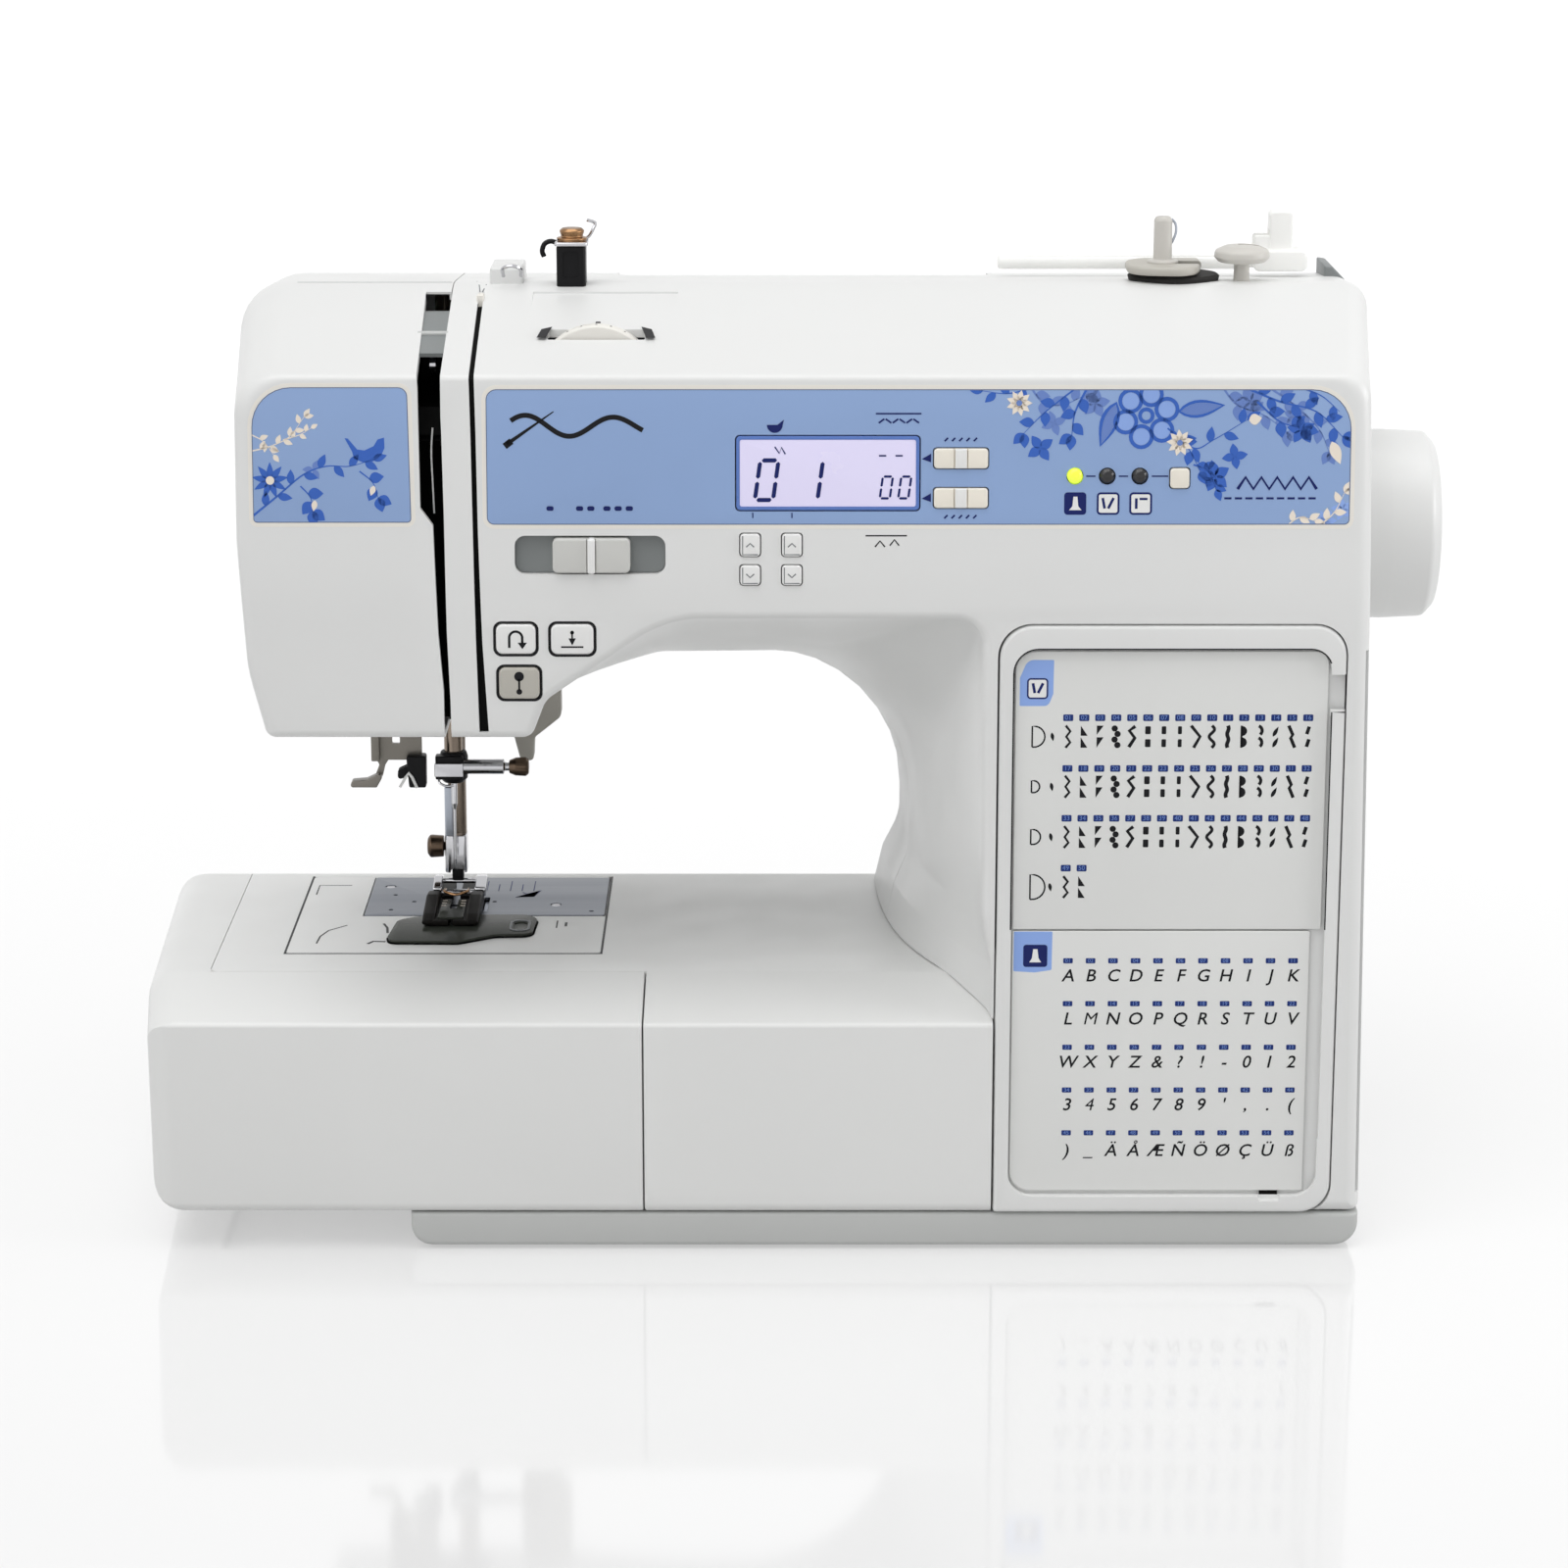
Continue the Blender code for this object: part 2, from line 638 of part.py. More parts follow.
def make_power_switch(material):
    corners = [(171.8, 61.2, 0.6), (178.0, 61.2, 1.0), (180.6, 65.0, 1.0), (179.4, 78.8, 1.0),
               (171.8, 78.8, 0.6)]
    rocker = prism(rounded(corners), "Y", 35.4, 50.6)
    return finish(rocker, "power_switch", material, (176.0, 43, 70.0))


# ---- Inside ---------------------------------------------------------------------------------------


def make_frame(material):
    y0, y1 = 18.5, 26.0
    frame = box(-100, 150, y0, y1, 228, 282)
    frame = join(frame, box(96, 150, y0, y1, 18, 240))
    frame = join(frame, box(-60, 150, y0, y1, 26, 50))
    frame = join(frame, box(-105.5, -99, 10, 40, 178, 282))
    for low, high in ((178, 186), (236, 244)):
        frame = join(frame, box(-123, -100, 12, 40, low, high))
    frame = cut(frame, rod("Z", NEEDLE_X, NEEDLE_Y, 150, 300, 3.7, 20))
    frame = cut(frame, rod("Z", NEEDLE_X, PRESSER_Y, 150, 300, 3.7, 20))
    for x in (-84, 100):
        frame = join(frame, box(x, x + 9, -3, 20, SHAFT_Z - 9, SHAFT_Z + 20))
        frame = cut(frame, rod("X", SHAFT_Y, SHAFT_Z, x - 5, x + 14, 4.5))
    for x in (-56, 100):
        frame = join(frame, box(x, x + 9, -3, 20, LOWER_Z - 9, LOWER_Z + 9))
        frame = cut(frame, rod("X", SHAFT_Y, LOWER_Z, x - 5, x + 14, 4.5))
    frame = join(frame, box(-108, -100.5, -20, 12, 233, 247))
    frame = cut(frame, rod("X", -14, 240, -120, -90, 2.9, 16))
    return finish(frame, "main_frame", material)


def make_drive(steel, plastic, rubber):
    shaft = rod("X", SHAFT_Y, SHAFT_Z, -97, 189, 4.0, 20)
    shaft = join(shaft, rod("X", SHAFT_Y, SHAFT_Z, -97, -91, 14.0, 28))
    shaft = join(shaft, rod("X", SHAFT_Y, SHAFT_Z, 128, 134, 8.0, 24))
    shaft = join(shaft, rod("X", SHAFT_Y, SHAFT_Z, 153, 161, 22.0, 40))
    finish(shaft, "upper_shaft", steel, (0, SHAFT_Y, SHAFT_Z))
    lower = rod("X", SHAFT_Y, LOWER_Z, -118, 140, 4.0, 20)
    lower = join(lower, rod("X", SHAFT_Y, LOWER_Z, 128, 134, 8.0, 24))
    lower = join(lower, rod("X", SHAFT_Y, LOWER_Z, -118, -101, 7.0, 20))
    finish(lower, "lower_shaft", steel, (0, SHAFT_Y, LOWER_Z))
    belt = ring_belt(8.4, 9.9, (SHAFT_Y, SHAFT_Z), 8.4, (SHAFT_Y, LOWER_Z), 128.4, 133.6)
    finish(belt, "timing_belt", rubber)
    belt = ring_belt(22.4, 24.0, (SHAFT_Y, SHAFT_Z), 7.4, (MOTOR_Y, MOTOR_Z), 153.6, 160.4)
    finish(belt, "drive_belt", rubber)
    pulley = rod("X", MOTOR_Y, MOTOR_Z, 152, 162, 7.0, 24)
    pulley = cut(pulley, rod("X", MOTOR_Y, MOTOR_Z, 140, 159, 2.9, 12))
    finish(pulley, "motor_pulley", plastic, (157, MOTOR_Y, MOTOR_Z))
    motor = turned("X", MOTOR_Y, MOTOR_Z, [(86, 20.0), (89, 24.0), (143, 24.0), (146, 20.0), (149, 8.0)], 32)
    motor = join(motor, rod("X", MOTOR_Y, MOTOR_Z, 148, 158, 2.4, 12))
    finish(motor, "motor", steel)


def ring_belt(radius_a, outer_a, centre_a, radius_b, centre_b, x0, x1):
    """A belt round two wheels: the space between two stadium shapes."""
    thick = outer_a - radius_a

    def stadium(a, b):
        ay, az = centre_a
        by, bz = centre_b
        reach = math.hypot(by - ay, bz - az)
        heading = math.atan2(bz - az, by - ay)
        lean = math.acos((a - b) / reach)
        points = []
        for k in range(15):
            angle = heading + lean + (2 * math.pi - 2 * lean) * k / 14
            points.append((ay + a * math.cos(angle), az + a * math.sin(angle)))
        for k in range(9):
            angle = heading - lean + 2 * lean * k / 8
            points.append((by + b * math.cos(angle), bz + b * math.sin(angle)))
        return points

    outer = prism(stadium(radius_a + thick, radius_b + thick), "X", x0, x1)
    return cut(outer, prism(stadium(radius_a, radius_b), "X", x0 - 5, x1 + 5))


def make_needle_parts(steel, chrome, black):
    bar = rod("Z", NEEDLE_X, NEEDLE_Y, 129.6, 289, 3.2, 20)
    finish(bar, "needle_bar", chrome, (NEEDLE_X, NEEDLE_Y, 200))
    clamp = box(NEEDLE_X - 5.2, NEEDLE_X + 4.6, NEEDLE_Y - 5, NEEDLE_Y + 4.6, 123.2, 129.3, 1.6)
    clamp = join(clamp, rod("X", NEEDLE_Y, 126.4, NEEDLE_X + 2, -99.0, 1.4, 12))
    knob_line = [(-99.4, 2.2), (-98.8, 2.9), (-91.6, 2.9), (-90.8, 2.2)]
    clamp = join(clamp, turned("X", NEEDLE_Y, 126.4, knob_line, 20))
    clamp = cut(clamp, rod("Z", NEEDLE_X, NEEDLE_Y, 120, 128.0, 1.3, 12))
    finish(clamp, "needle_clamp", black, (NEEDLE_X, NEEDLE_Y, 126))
    needle_line = [(95.5, 0.12), (98.5, 0.5), (112, 0.55), (114, 1.0), (127.6, 1.0)]
    needle = turned("Z", NEEDLE_X, NEEDLE_Y, needle_line, 12)
    finish(needle, "needle", chrome, (NEEDLE_X, NEEDLE_Y, 110))
    lever = rod("X", -14, 240, -113.2, -109.0, 5.0, 20)
    lever = join(lever, rod("X", -14, 240, -110, -101.5, 2.5, 16))
    arm = prism([(-12, 236.5), (-10, 243.5), (-60, 284.5), (-66, 280), (-61, 276)], "X", -113.0, -111.0)
    arm = cut(arm, rod("X", -60.5, 280.0, -120, -100, 1.5, 12))
    finish(join(lever, arm), "take_up_lever", chrome, (-112, -14, 240))
    bracket = box(-141.0, -126.0, 10, 16, 132.0, 141.5, 1.0, "Y")
    bracket = join(bracket, box(-131.0, -128.6, 11, 15, 139.0, 178.0))
    bracket = join(bracket, box(-148.5, -138.0, 11.5, 13.5, 129.4, 132.6))
    bracket = join(bracket, box(-129.5, -122.6, 10, 15, 125.6, 133.0, 1.0, "Y"))
    finish(bracket, "needle_threader", black, (-130, 13, 140))


def make_presser_parts(steel, chrome, white):
    bar = rod("Z", NEEDLE_X, PRESSER_Y, 104, 258, 3.2, 20)
    ankle = box(NEEDLE_X - 4.6, NEEDLE_X + 4.2, PRESSER_Y - 4.2, PRESSER_Y + 5, 92.6, 110, 1.2)
    bar = join(bar, ankle)
    screw_line = [(-124.6, 3.6), (-119.4, 3.6), (-118.8, 1.5), (-116, 1.5)]
    bar = join(bar, turned("X", PRESSER_Y, 103.5, screw_line, 16))
    bar = cut(bar, box(NEEDLE_X - 2.6, NEEDLE_X + 2.2, 20, 45, 90, 98.6))
    finish(bar, "presser_bar", chrome, (NEEDLE_X, PRESSER_Y, 180))
    sole = box(NEEDLE_X - 8.6, NEEDLE_X + 8.6, -9, 38, 83.6, 85.6, 1.5)
    sole = cut(sole, box(NEEDLE_X - 4.2, NEEDLE_X + 4.2, NEEDLE_Y - 2.0, NEEDLE_Y + 2.2, 80, 90, 1.2))
    sole = cut(sole, box(NEEDLE_X - 1.6, NEEDLE_X + 1.6, -20, NEEDLE_Y, 80, 90))
    for x in (NEEDLE_X - 8.0, NEEDLE_X + 6.0):
        sole = join(sole, box(x, x + 2.0, 24, 34, 85.0, 92.5, 1.0, "X"))
    sole = join(sole, rod("X", 30.0, 91.0, NEEDLE_X - 7.5, NEEDLE_X + 7.5, 1.1, 10))
    finish(sole, "presser_foot", chrome, (NEEDLE_X, 30.0, 91.0))
    lever = rod("X", 51.5, 173.5, -97.6, -87.4, 4.6, 20)
    lever = join(lever, box(-97.0, -88.0, 49.5, 53.0, 146.0, 173.0, 1.2, "Y"))
    lever = join(lever, box(-96.5, -80.6, 49.0, 53.5, 138.0, 152.0, 2.5, "Y"))
    finish(lever, "presser_lever", white, (-92, 51.5, 173.5))


def make_hook_parts(steel, black, clear):
    hook = rod("Z", HOOK_X, HOOK_Y, 54.0, 70.0, 22.0, 32)
    hook = cut(hook, rod("Z", HOOK_X, HOOK_Y, 57.0, 80.0, 19.6, 32))
    hook = join(hook, rod("Z", HOOK_X, HOOK_Y, 48.0, 55.0, 5.0, 16))
    finish(hook, "rotary_hook", steel, (HOOK_X, HOOK_Y, 60))
    case = rod("Z", HOOK_X, HOOK_Y, 57.6, 75.6, 18.6, 32)
    case = cut(case, rod("Z", HOOK_X, HOOK_Y, 59.5, 90.0, 11.4, 28))
    finish(case, "bobbin_case", black)
    line = [(60, 10.2), (61, 10.2), (61.1, 4.2), (70.4, 4.2), (70.5, 10.2), (71.5, 10.2)]
    bobbin = turned("Z", HOOK_X, HOOK_Y, line, 28)
    bobbin = cut(bobbin, rod("Z", HOOK_X, HOOK_Y, 50, 80, 2.8, 16))
    finish(bobbin, "bobbin", clear, (HOOK_X, HOOK_Y, 65))
    dog = box(-123.0, -104.2, 14.0, 38.0, 68.0, 76.0)
    for x in (-120.6, -110.6):
        dog = join(dog, box(x, x + 2.6, 24.6, 35.4, 75.0, 81.0))
    for x in (-123.2, -105.2):
        dog = join(dog, box(x, x + 1.2, 13.8, 29.4, 75.0, 81.0))
    dog = cut(dog, box(NEEDLE_X - 4.0, NEEDLE_X + 4.0, NEEDLE_Y - 3, NEEDLE_Y + 3, 60, 80))
    finish(dog, "feed_dog", steel, (NEEDLE_X, 24, 72))


def clear_scene():
    for thing in list(bpy.data.objects):
        bpy.data.objects.remove(thing)
    for data in list(bpy.data.meshes):
        bpy.data.meshes.remove(data)


def main():
    clear_scene()
    white = look("casing_white", (0.80, 0.80, 0.78), 0.35)
    grey = look("base_grey", (0.55, 0.56, 0.56), 0.45)
    blue = look("panel_blue", (0.23, 0.33, 0.58), 0.30)
    lilac = look("display_lilac", (0.72, 0.68, 0.87), 0.15)
    cream = look("key_cream", (0.84, 0.82, 0.72), 0.45)
    beige = look("button_beige", (0.50, 0.48, 0.44), 0.45)
    lamp = look("lamp_yellow", (0.85, 0.85, 0.15), 0.30)
    smoke = look("smoked_cover", (0.08, 0.09, 0.08), 0.15)
    black = look("black_plastic", (0.02, 0.02, 0.02), 0.40)
    rubber = look("black_rubber", (0.03, 0.03, 0.03), 0.80)
    steel = look("steel", (0.45, 0.47, 0.50), 0.35, 1.0)
    chrome = look("chrome", (0.75, 0.75, 0.76), 0.12, 1.0)
    cast = look("cast_aluminium", (0.50, 0.51, 0.53), 0.55, 1.0)
    clear = look("clear_plastic", (0.80, 0.82, 0.84), 0.10)

    make_base(grey)
    make_feet(rubber)
    make_front_cover(white)
    make_rear_cover(white)
    make_face_cover(white)
    make_free_arm(white)
    make_attachment(white)
    make_plate_cover(white)
    make_needle_plate(steel)
    make_bobbin_cover(smoke)
    make_panel(blue)
    make_display(lilac)
    make_leds(lamp)
    make_keys(cream)
    make_buttons(white, beige)
    make_speed_slider(cream)
    make_card_holder(white)
    make_cards(white)
    make_tension_dial(white)
    make_pretension(black)
    make_winder(white, black)
    make_spool_pin(white)
    make_handle(white)
    make_handwheel(white)
    make_socket_panel(black)
    make_power_switch(black)
    make_frame(cast)
    make_drive(steel, black, rubber)
    make_needle_parts(steel, chrome, black)
    make_presser_parts(steel, chrome, white)
    make_hook_parts(steel, black, clear)


main()
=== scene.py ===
"""The looks of a household sewing machine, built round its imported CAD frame.

Lengths are millimetres inside the shape functions and metres once a piece is shown.
+X runs from the needle end to the handwheel, -Y is the operator's side, +Z is up.
"""

import math

import bmesh
import bpy
from mathutils import Matrix, Vector


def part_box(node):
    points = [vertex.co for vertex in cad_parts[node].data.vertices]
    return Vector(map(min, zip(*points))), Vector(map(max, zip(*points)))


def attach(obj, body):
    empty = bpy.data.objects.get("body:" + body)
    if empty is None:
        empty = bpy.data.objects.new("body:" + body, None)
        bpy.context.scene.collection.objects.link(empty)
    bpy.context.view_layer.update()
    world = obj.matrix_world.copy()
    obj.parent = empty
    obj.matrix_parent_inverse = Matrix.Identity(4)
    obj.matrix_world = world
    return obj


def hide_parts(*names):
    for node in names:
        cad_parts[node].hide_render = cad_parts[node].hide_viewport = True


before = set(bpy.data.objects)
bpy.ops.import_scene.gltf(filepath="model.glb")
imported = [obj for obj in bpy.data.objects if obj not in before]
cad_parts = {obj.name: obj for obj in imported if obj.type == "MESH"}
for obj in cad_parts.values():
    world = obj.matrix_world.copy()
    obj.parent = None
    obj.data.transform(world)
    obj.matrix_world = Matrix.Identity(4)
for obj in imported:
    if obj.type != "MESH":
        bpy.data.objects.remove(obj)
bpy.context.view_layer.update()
MM = 0.001
BEYOND = 400


def node_mm(name):
    """A CAD node's box in millimetres: x0, x1, y0, y1, z0, z1."""
    low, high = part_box(name)
    return [value / MM for pair in zip(low, high) for value in pair]


def face_mm(name):
    """A CAD node's box as seen from the front: x0, x1, z0, z1."""
    x0, x1, _, _, z0, z1 = node_mm(name)
    return x0, x1, z0, z1


# The body's driving dimensions, in millimetres.
FRONT = -89
ARM_REAR = 57
SPLIT = 6
FACE_TOP = 278.6
FACE_BREAK = 213
FACE_LEAN = 0.0884
BREAK_HALF = 9
RIDGE_Y = -20
RIDGE_TOP = 298.3
HEAD_LOW = 166.8
SHELF_START = -71
SHELF_END = -26.5
SHELF_DROP = 0.8
DIAL_RADIUS = 18.9
BED_TOP = 82
BED_REAR = 64
BED_BOTTOM = 12.5
BED_EDGE = -54.7
COLUMN_LEFT = 61.7
END_SWEEP = 9.5
HEAD_JOIN = -108.4
SHAFT_Y = 6
SHAFT_Z = 216
NEEDLE_X = -114.4
NEEDLE_Y = 20
PRESSER_Y = 32
WALL = 2.5
RIM = 4.5
SHARP_ANGLE = 32
LAMP_XS = (84.1, 93.9, 103.8)
LAMP_Z = 248.5
CARD_FACE = -87.3
CARD_BACK = -86.2


# ---- Outlines ----------------------------------------------------------------------------------------


def inset(corners, distances):
    """Corners (u, v, radius) of an anticlockwise outline, each side moved inwards by its own distance."""
    count = len(corners)
    if not isinstance(distances, (list, tuple)):
        distances = [distances] * count
    result = []
    for i, (u, v, radius) in enumerate(corners):
        before = corners[i - 1]
        after = corners[(i + 1) % count]
        first = Vector((u - before[0], v - before[1])).normalized()
        second = Vector((after[0] - u, after[1] - v)).normalized()
        a = Vector((-first.y, first.x))
        b = Vector((-second.y, second.x))
        d1 = distances[i - 1]
        d2 = distances[i]
        c = a.dot(b)
        if c > 0.9999:
            shift = a * ((d1 + d2) / 2)
        else:
            shift = (a * (d1 - d2 * c) + b * (d2 - d1 * c)) / (1 - c * c)
        turn = 1 if first.x * second.y - first.y * second.x > 0 else -1
        less = min(d1, d2, key=abs)
        result.append((u + shift.x, v + shift.y, max(radius - turn * less, 0.05) if radius else 0))
    return result


def rounded(corners, steps=8):
    """An outline with an arc at each corner (u, v, radius)."""
    points = []
    for i, (u, v, radius) in enumerate(corners):
        here = Vector((u, v))
        if radius <= 0:
            points.append((u, v))
            continue
        back = (Vector(corners[i - 1][:2]) - here).normalized()
        on = (Vector(corners[(i + 1) % len(corners)][:2]) - here).normalized()
        if abs(back.x * on.y - back.y * on.x) < 1e-6:
            points.append((u, v))
            continue
        half = back.angle(on) / 2
        centre = here + (back + on).normalized() * (radius / math.sin(half))
        start = here + back * (radius / math.tan(half)) - centre
        end = here + on * (radius / math.tan(half)) - centre
        turn = start.angle_signed(end)
        for k in range(steps + 1):
            angle = -turn * k / steps
            x = start.x * math.cos(angle) - start.y * math.sin(angle)
            y = start.x * math.sin(angle) + start.y * math.cos(angle)
            points.append((centre.x + x, centre.y + y))
    return points


def rectangle(u0, v0, u1, v1, radius=0):
    return [(u0, v0, radius), (u1, v0, radius), (u1, v1, radius), (u0, v1, radius)]


def circle(u, v, radius, sides=24):
    turns = [2 * math.pi * k / sides for k in range(sides)]
    return [(u + radius * math.cos(t), v + radius * math.sin(t)) for t in turns]


def quarter(rim, steps):
    """Pairs (along, inset) of a quarter round, from the end face to the full section."""
    turns = [math.pi / 2 * k / steps for k in range(steps + 1)]
    return [(rim * (1 - math.cos(t)), rim * (1 - math.sin(t))) for t in turns]


def between(value, points):
    """Straight-line reading of a list of (place, value) pairs."""
    for (p0, v0), (p1, v1) in zip(points, points[1:]):
        if value <= p1:
            share = max(0, min(1, (value - p0) / (p1 - p0)))
            return v0 + (v1 - v0) * share
    return points[-1][1]


# ---- Solids ------------------------------------------------------------------------------------------


def place(axis, u, v, along):
    if axis == "X":
        return (along, u, v)
    if axis == "Y":
        return (u, along, v)
    return (u, v, along)


def linked(name, data):
    """A new object of the scene."""
    thing = bpy.data.objects.new(name, data)
    bpy.context.scene.collection.objects.link(thing)
    return thing


def finished(mesh, name="solid"):
    """Ends the editing of a mesh and makes an object of it."""
    data = bpy.data.meshes.new(name)
    mesh.to_mesh(data)
    mesh.free()
    return linked(name, data)


def solid(mesh):
    face_outwards(mesh)
    return finished(mesh)


def reworked(thing, change):
    """Makes a change to a solid's editable mesh."""
    mesh = bmesh.new()
    mesh.from_mesh(thing.data)
    change(mesh)
    mesh.to_mesh(thing.data)
    mesh.free()
    return thing


def face_outwards(mesh):
    bmesh.ops.recalc_face_normals(mesh, faces=mesh.faces)


def loft(rings, closed=False):
    """A solid through rings of equally many points. A closed one joins its last ring to its first."""
    mesh = bmesh.new()
    loops = [[mesh.verts.new(point) for point in ring] for ring in rings]
    count = len(loops[0])
    pairs = list(zip(loops, loops[1:]))
    if closed:
        pairs.append((loops[-1], loops[0]))
    for low, high in pairs:
        for i in range(count):
            j = (i + 1) % count
            mesh.faces.new((low[i], low[j], high[j], high[i]))
    if not closed:
        mesh.faces.new(loops[0])
        mesh.faces.new(loops[-1])
    return solid(mesh)


def prism(outline, axis, low, high):
    return loft([[place(axis, u, v, along) for u, v in outline] for along in (low, high)])


def soft_prism(corners, axis, low, high, rim=0.6, steps=6, ends=(True, True)):
    """A prism whose end faces have a quarter-round rim."""
    rims = quarter(rim, 4)
    rings = []
    if ends[0]:
        rings += [(low + a, d) for a, d in rims]
    else:
        rings.append((low, 0))
    if ends[1]:
        rings += [(high - a, d) for a, d in reversed(rims)]
    else:
        rings.append((high, 0))
    lists = []
    for along, distance in rings:
        outline = rounded(inset(corners, distance), steps)
        lists.append([place(axis, u, v, along) for u, v in outline])
    return loft(lists)


def block(x0, x1, y0, y1, z0, z1, radius=1, axis="Z", rim=0.6, steps=6, ends=(True, True)):
    spans = {"X": (y0, z0, y1, z1, x0, x1), "Y": (x0, z0, x1, z1, y0, y1), "Z": (x0, y0, x1, y1, z0, z1)}
    u0, v0, u1, v1, low, high = spans[axis]
    return soft_prism(rectangle(u0, v0, u1, v1, radius), axis, low, high, rim, steps, ends)


def box(x0, x1, y0, y1, z0, z1):
    return prism([(x0, y0), (x1, y0), (x1, y1), (x0, y1)], "Z", z0, z1)


def turned(axis, u, v, corners, sides=48, steps=5):
    """A turned solid: corners (along, radius, fillet) of its outer line, from one end to the other."""
    rings = []
    for along, radius in rounded(corners, steps):
        rings.append([place(axis, a, b, along) for a, b in circle(u, v, max(radius, 0.02), sides)])
    return loft(rings)


def rod(axis, u, v, low, high, radius, rim=0.3, sides=32):
    return turned(axis, u, v, [(low, radius, 0), (high, radius, 0)] if not rim else
                  [(low, radius - rim, 0), (low + rim * 0.3, radius - rim * 0.3, 0),
                   (low + rim, radius, 0),
                   (high - rim, radius, 0), (high - rim * 0.3, radius - rim * 0.3, 0),
                   (high, radius - rim, 0)],
                  sides)


def smooth_path(points, steps=8):
    """Points on a Catmull-Rom curve through the given ones."""
    places = [Vector(p) for p in points]
    padded = [2 * places[0] - places[1], *places, 2 * places[-1] - places[-2]]
    result = []
    for a, b, c, d in zip(padded, padded[1:], padded[2:], padded[3:]):
        for k in range(steps):
            t = k / steps
            result.append(0.5 * (2 * b + (c - a) * t + (2 * a - 5 * b + 4 * c - d) * t * t
                                 + (3 * b - a - 3 * c + d) * t * t * t))
    return [*result, places[-1]]


def tube(points, radius, sides=12, flat=1):
    """A round or flattened wire along a list of points."""
    places = [Vector(p) for p in points]
    side = Vector((0, 0, 1))
    rings = []
    for i, here in enumerate(places):
        ahead = (places[min(i + 1, len(places) - 1)] - places[max(i - 1, 0)]).normalized()
        if abs(ahead.dot(side)) > 0.95 and i == 0:
            side = Vector((1, 0, 0))
        side = (side - ahead * ahead.dot(side)).normalized()
        other = ahead.cross(side)
        section = circle(0, 0, radius, sides)
        rings.append([tuple(here + side * (a * flat) + other * b) for a, b in section])
    return loft(rings)


def thin_wire(points, radius, sides=8):
    """A thin wire or thread bent smoothly through a few points."""
    return tube(smooth_path(points, 6), radius, sides)


def combine(first, others, operation):
    for other in others:
        step = first.modifiers.new("join", "BOOLEAN")
        step.operation = operation
        step.solver = "EXACT"
        step.object = other
        graph = bpy.context.evaluated_depsgraph_get()
        data = bpy.data.meshes.new_from_object(first.evaluated_get(graph))
        first.modifiers.clear()
        old = first.data
        first.data = data
        bpy.data.meshes.remove(old)
        bpy.data.objects.remove(other)
    return first


def cut(first, *others):
    return combine(first, others, "DIFFERENCE")


def join(first, *others):
    return combine(first, others, "UNION")


def common(first, *others):
    return combine(first, others, "INTERSECT")


def copy_of(thing):
    return linked("solid", thing.data.copy())


def gather(things):
    """Several separate solids as one object."""
    mesh = bmesh.new()
    for thing in things:
        mesh.from_mesh(thing.data)
        bpy.data.objects.remove(thing)
    return finished(mesh)


def bend(thing, rule):
    """Moves each point of a solid by a rule of its place."""
    for vertex in thing.data.vertices:
        vertex.co = rule(vertex.co)
    return thing


def turn(thing, axis, degrees, centre):
    matrix = Matrix.Translation(Vector(centre)) @ Matrix.Rotation(math.radians(degrees), 4, axis)
    thing.data.transform(matrix @ Matrix.Translation(-Vector(centre)))
    return thing


def show(thing, name, material, body="machine", replaces=(), slot=None):
    """Turns a solid in millimetres into a finished piece that rides on a body."""
    thing.data.transform(Matrix.Scale(MM, 4))
    thing.name = name
    thing.data.name = name
    thing.data.materials.clear()
    thing.data.materials.append(material)
    thing.data.shade_smooth()
    thing.data.set_sharp_from_angle(angle=math.radians(SHARP_ANGLE))
    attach(thing, body)
    slot or SLOT_OF[material.name]
    if replaces:
        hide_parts(*replaces)
    return thing


# ---- Materials ---------------------------------------------------------------------------------------


def shader_of(name):
    material = bpy.data.materials.new(name)
    material.use_nodes = True
    return material, material.node_tree, material.node_tree.nodes["Principled BSDF"]


def noise(tree, scale, detail=2, stretch=(1, 1, 1)):
    """A noise read in the object's own metres."""
    place_node = tree.nodes.new("ShaderNodeTexCoord")
    mapping = tree.nodes.new("ShaderNodeMapping")
    mapping.inputs["Scale"].default_value = stretch
    texture = tree.nodes.new("ShaderNodeTexNoise")
    texture.inputs["Scale"].default_value = scale
    texture.inputs["Detail"].default_value = detail
    tree.links.new(place_node.outputs["Object"], mapping.inputs["Vector"])
    tree.links.new(mapping.outputs["Vector"], texture.inputs["Vector"])
    return texture.outputs["Fac"]


def spread(tree, value, low, high):
    """Maps a noise, which sits near 0.5, onto a range."""
    node = tree.nodes.new("ShaderNodeMapRange")
    node.inputs["From Min"].default_value = 0.3
    node.inputs["From Max"].default_value = 0.7
    node.inputs["To Min"].default_value = low
    node.inputs["To Max"].default_value = high
    tree.links.new(value, node.inputs["Value"])
    return node.outputs["Result"]


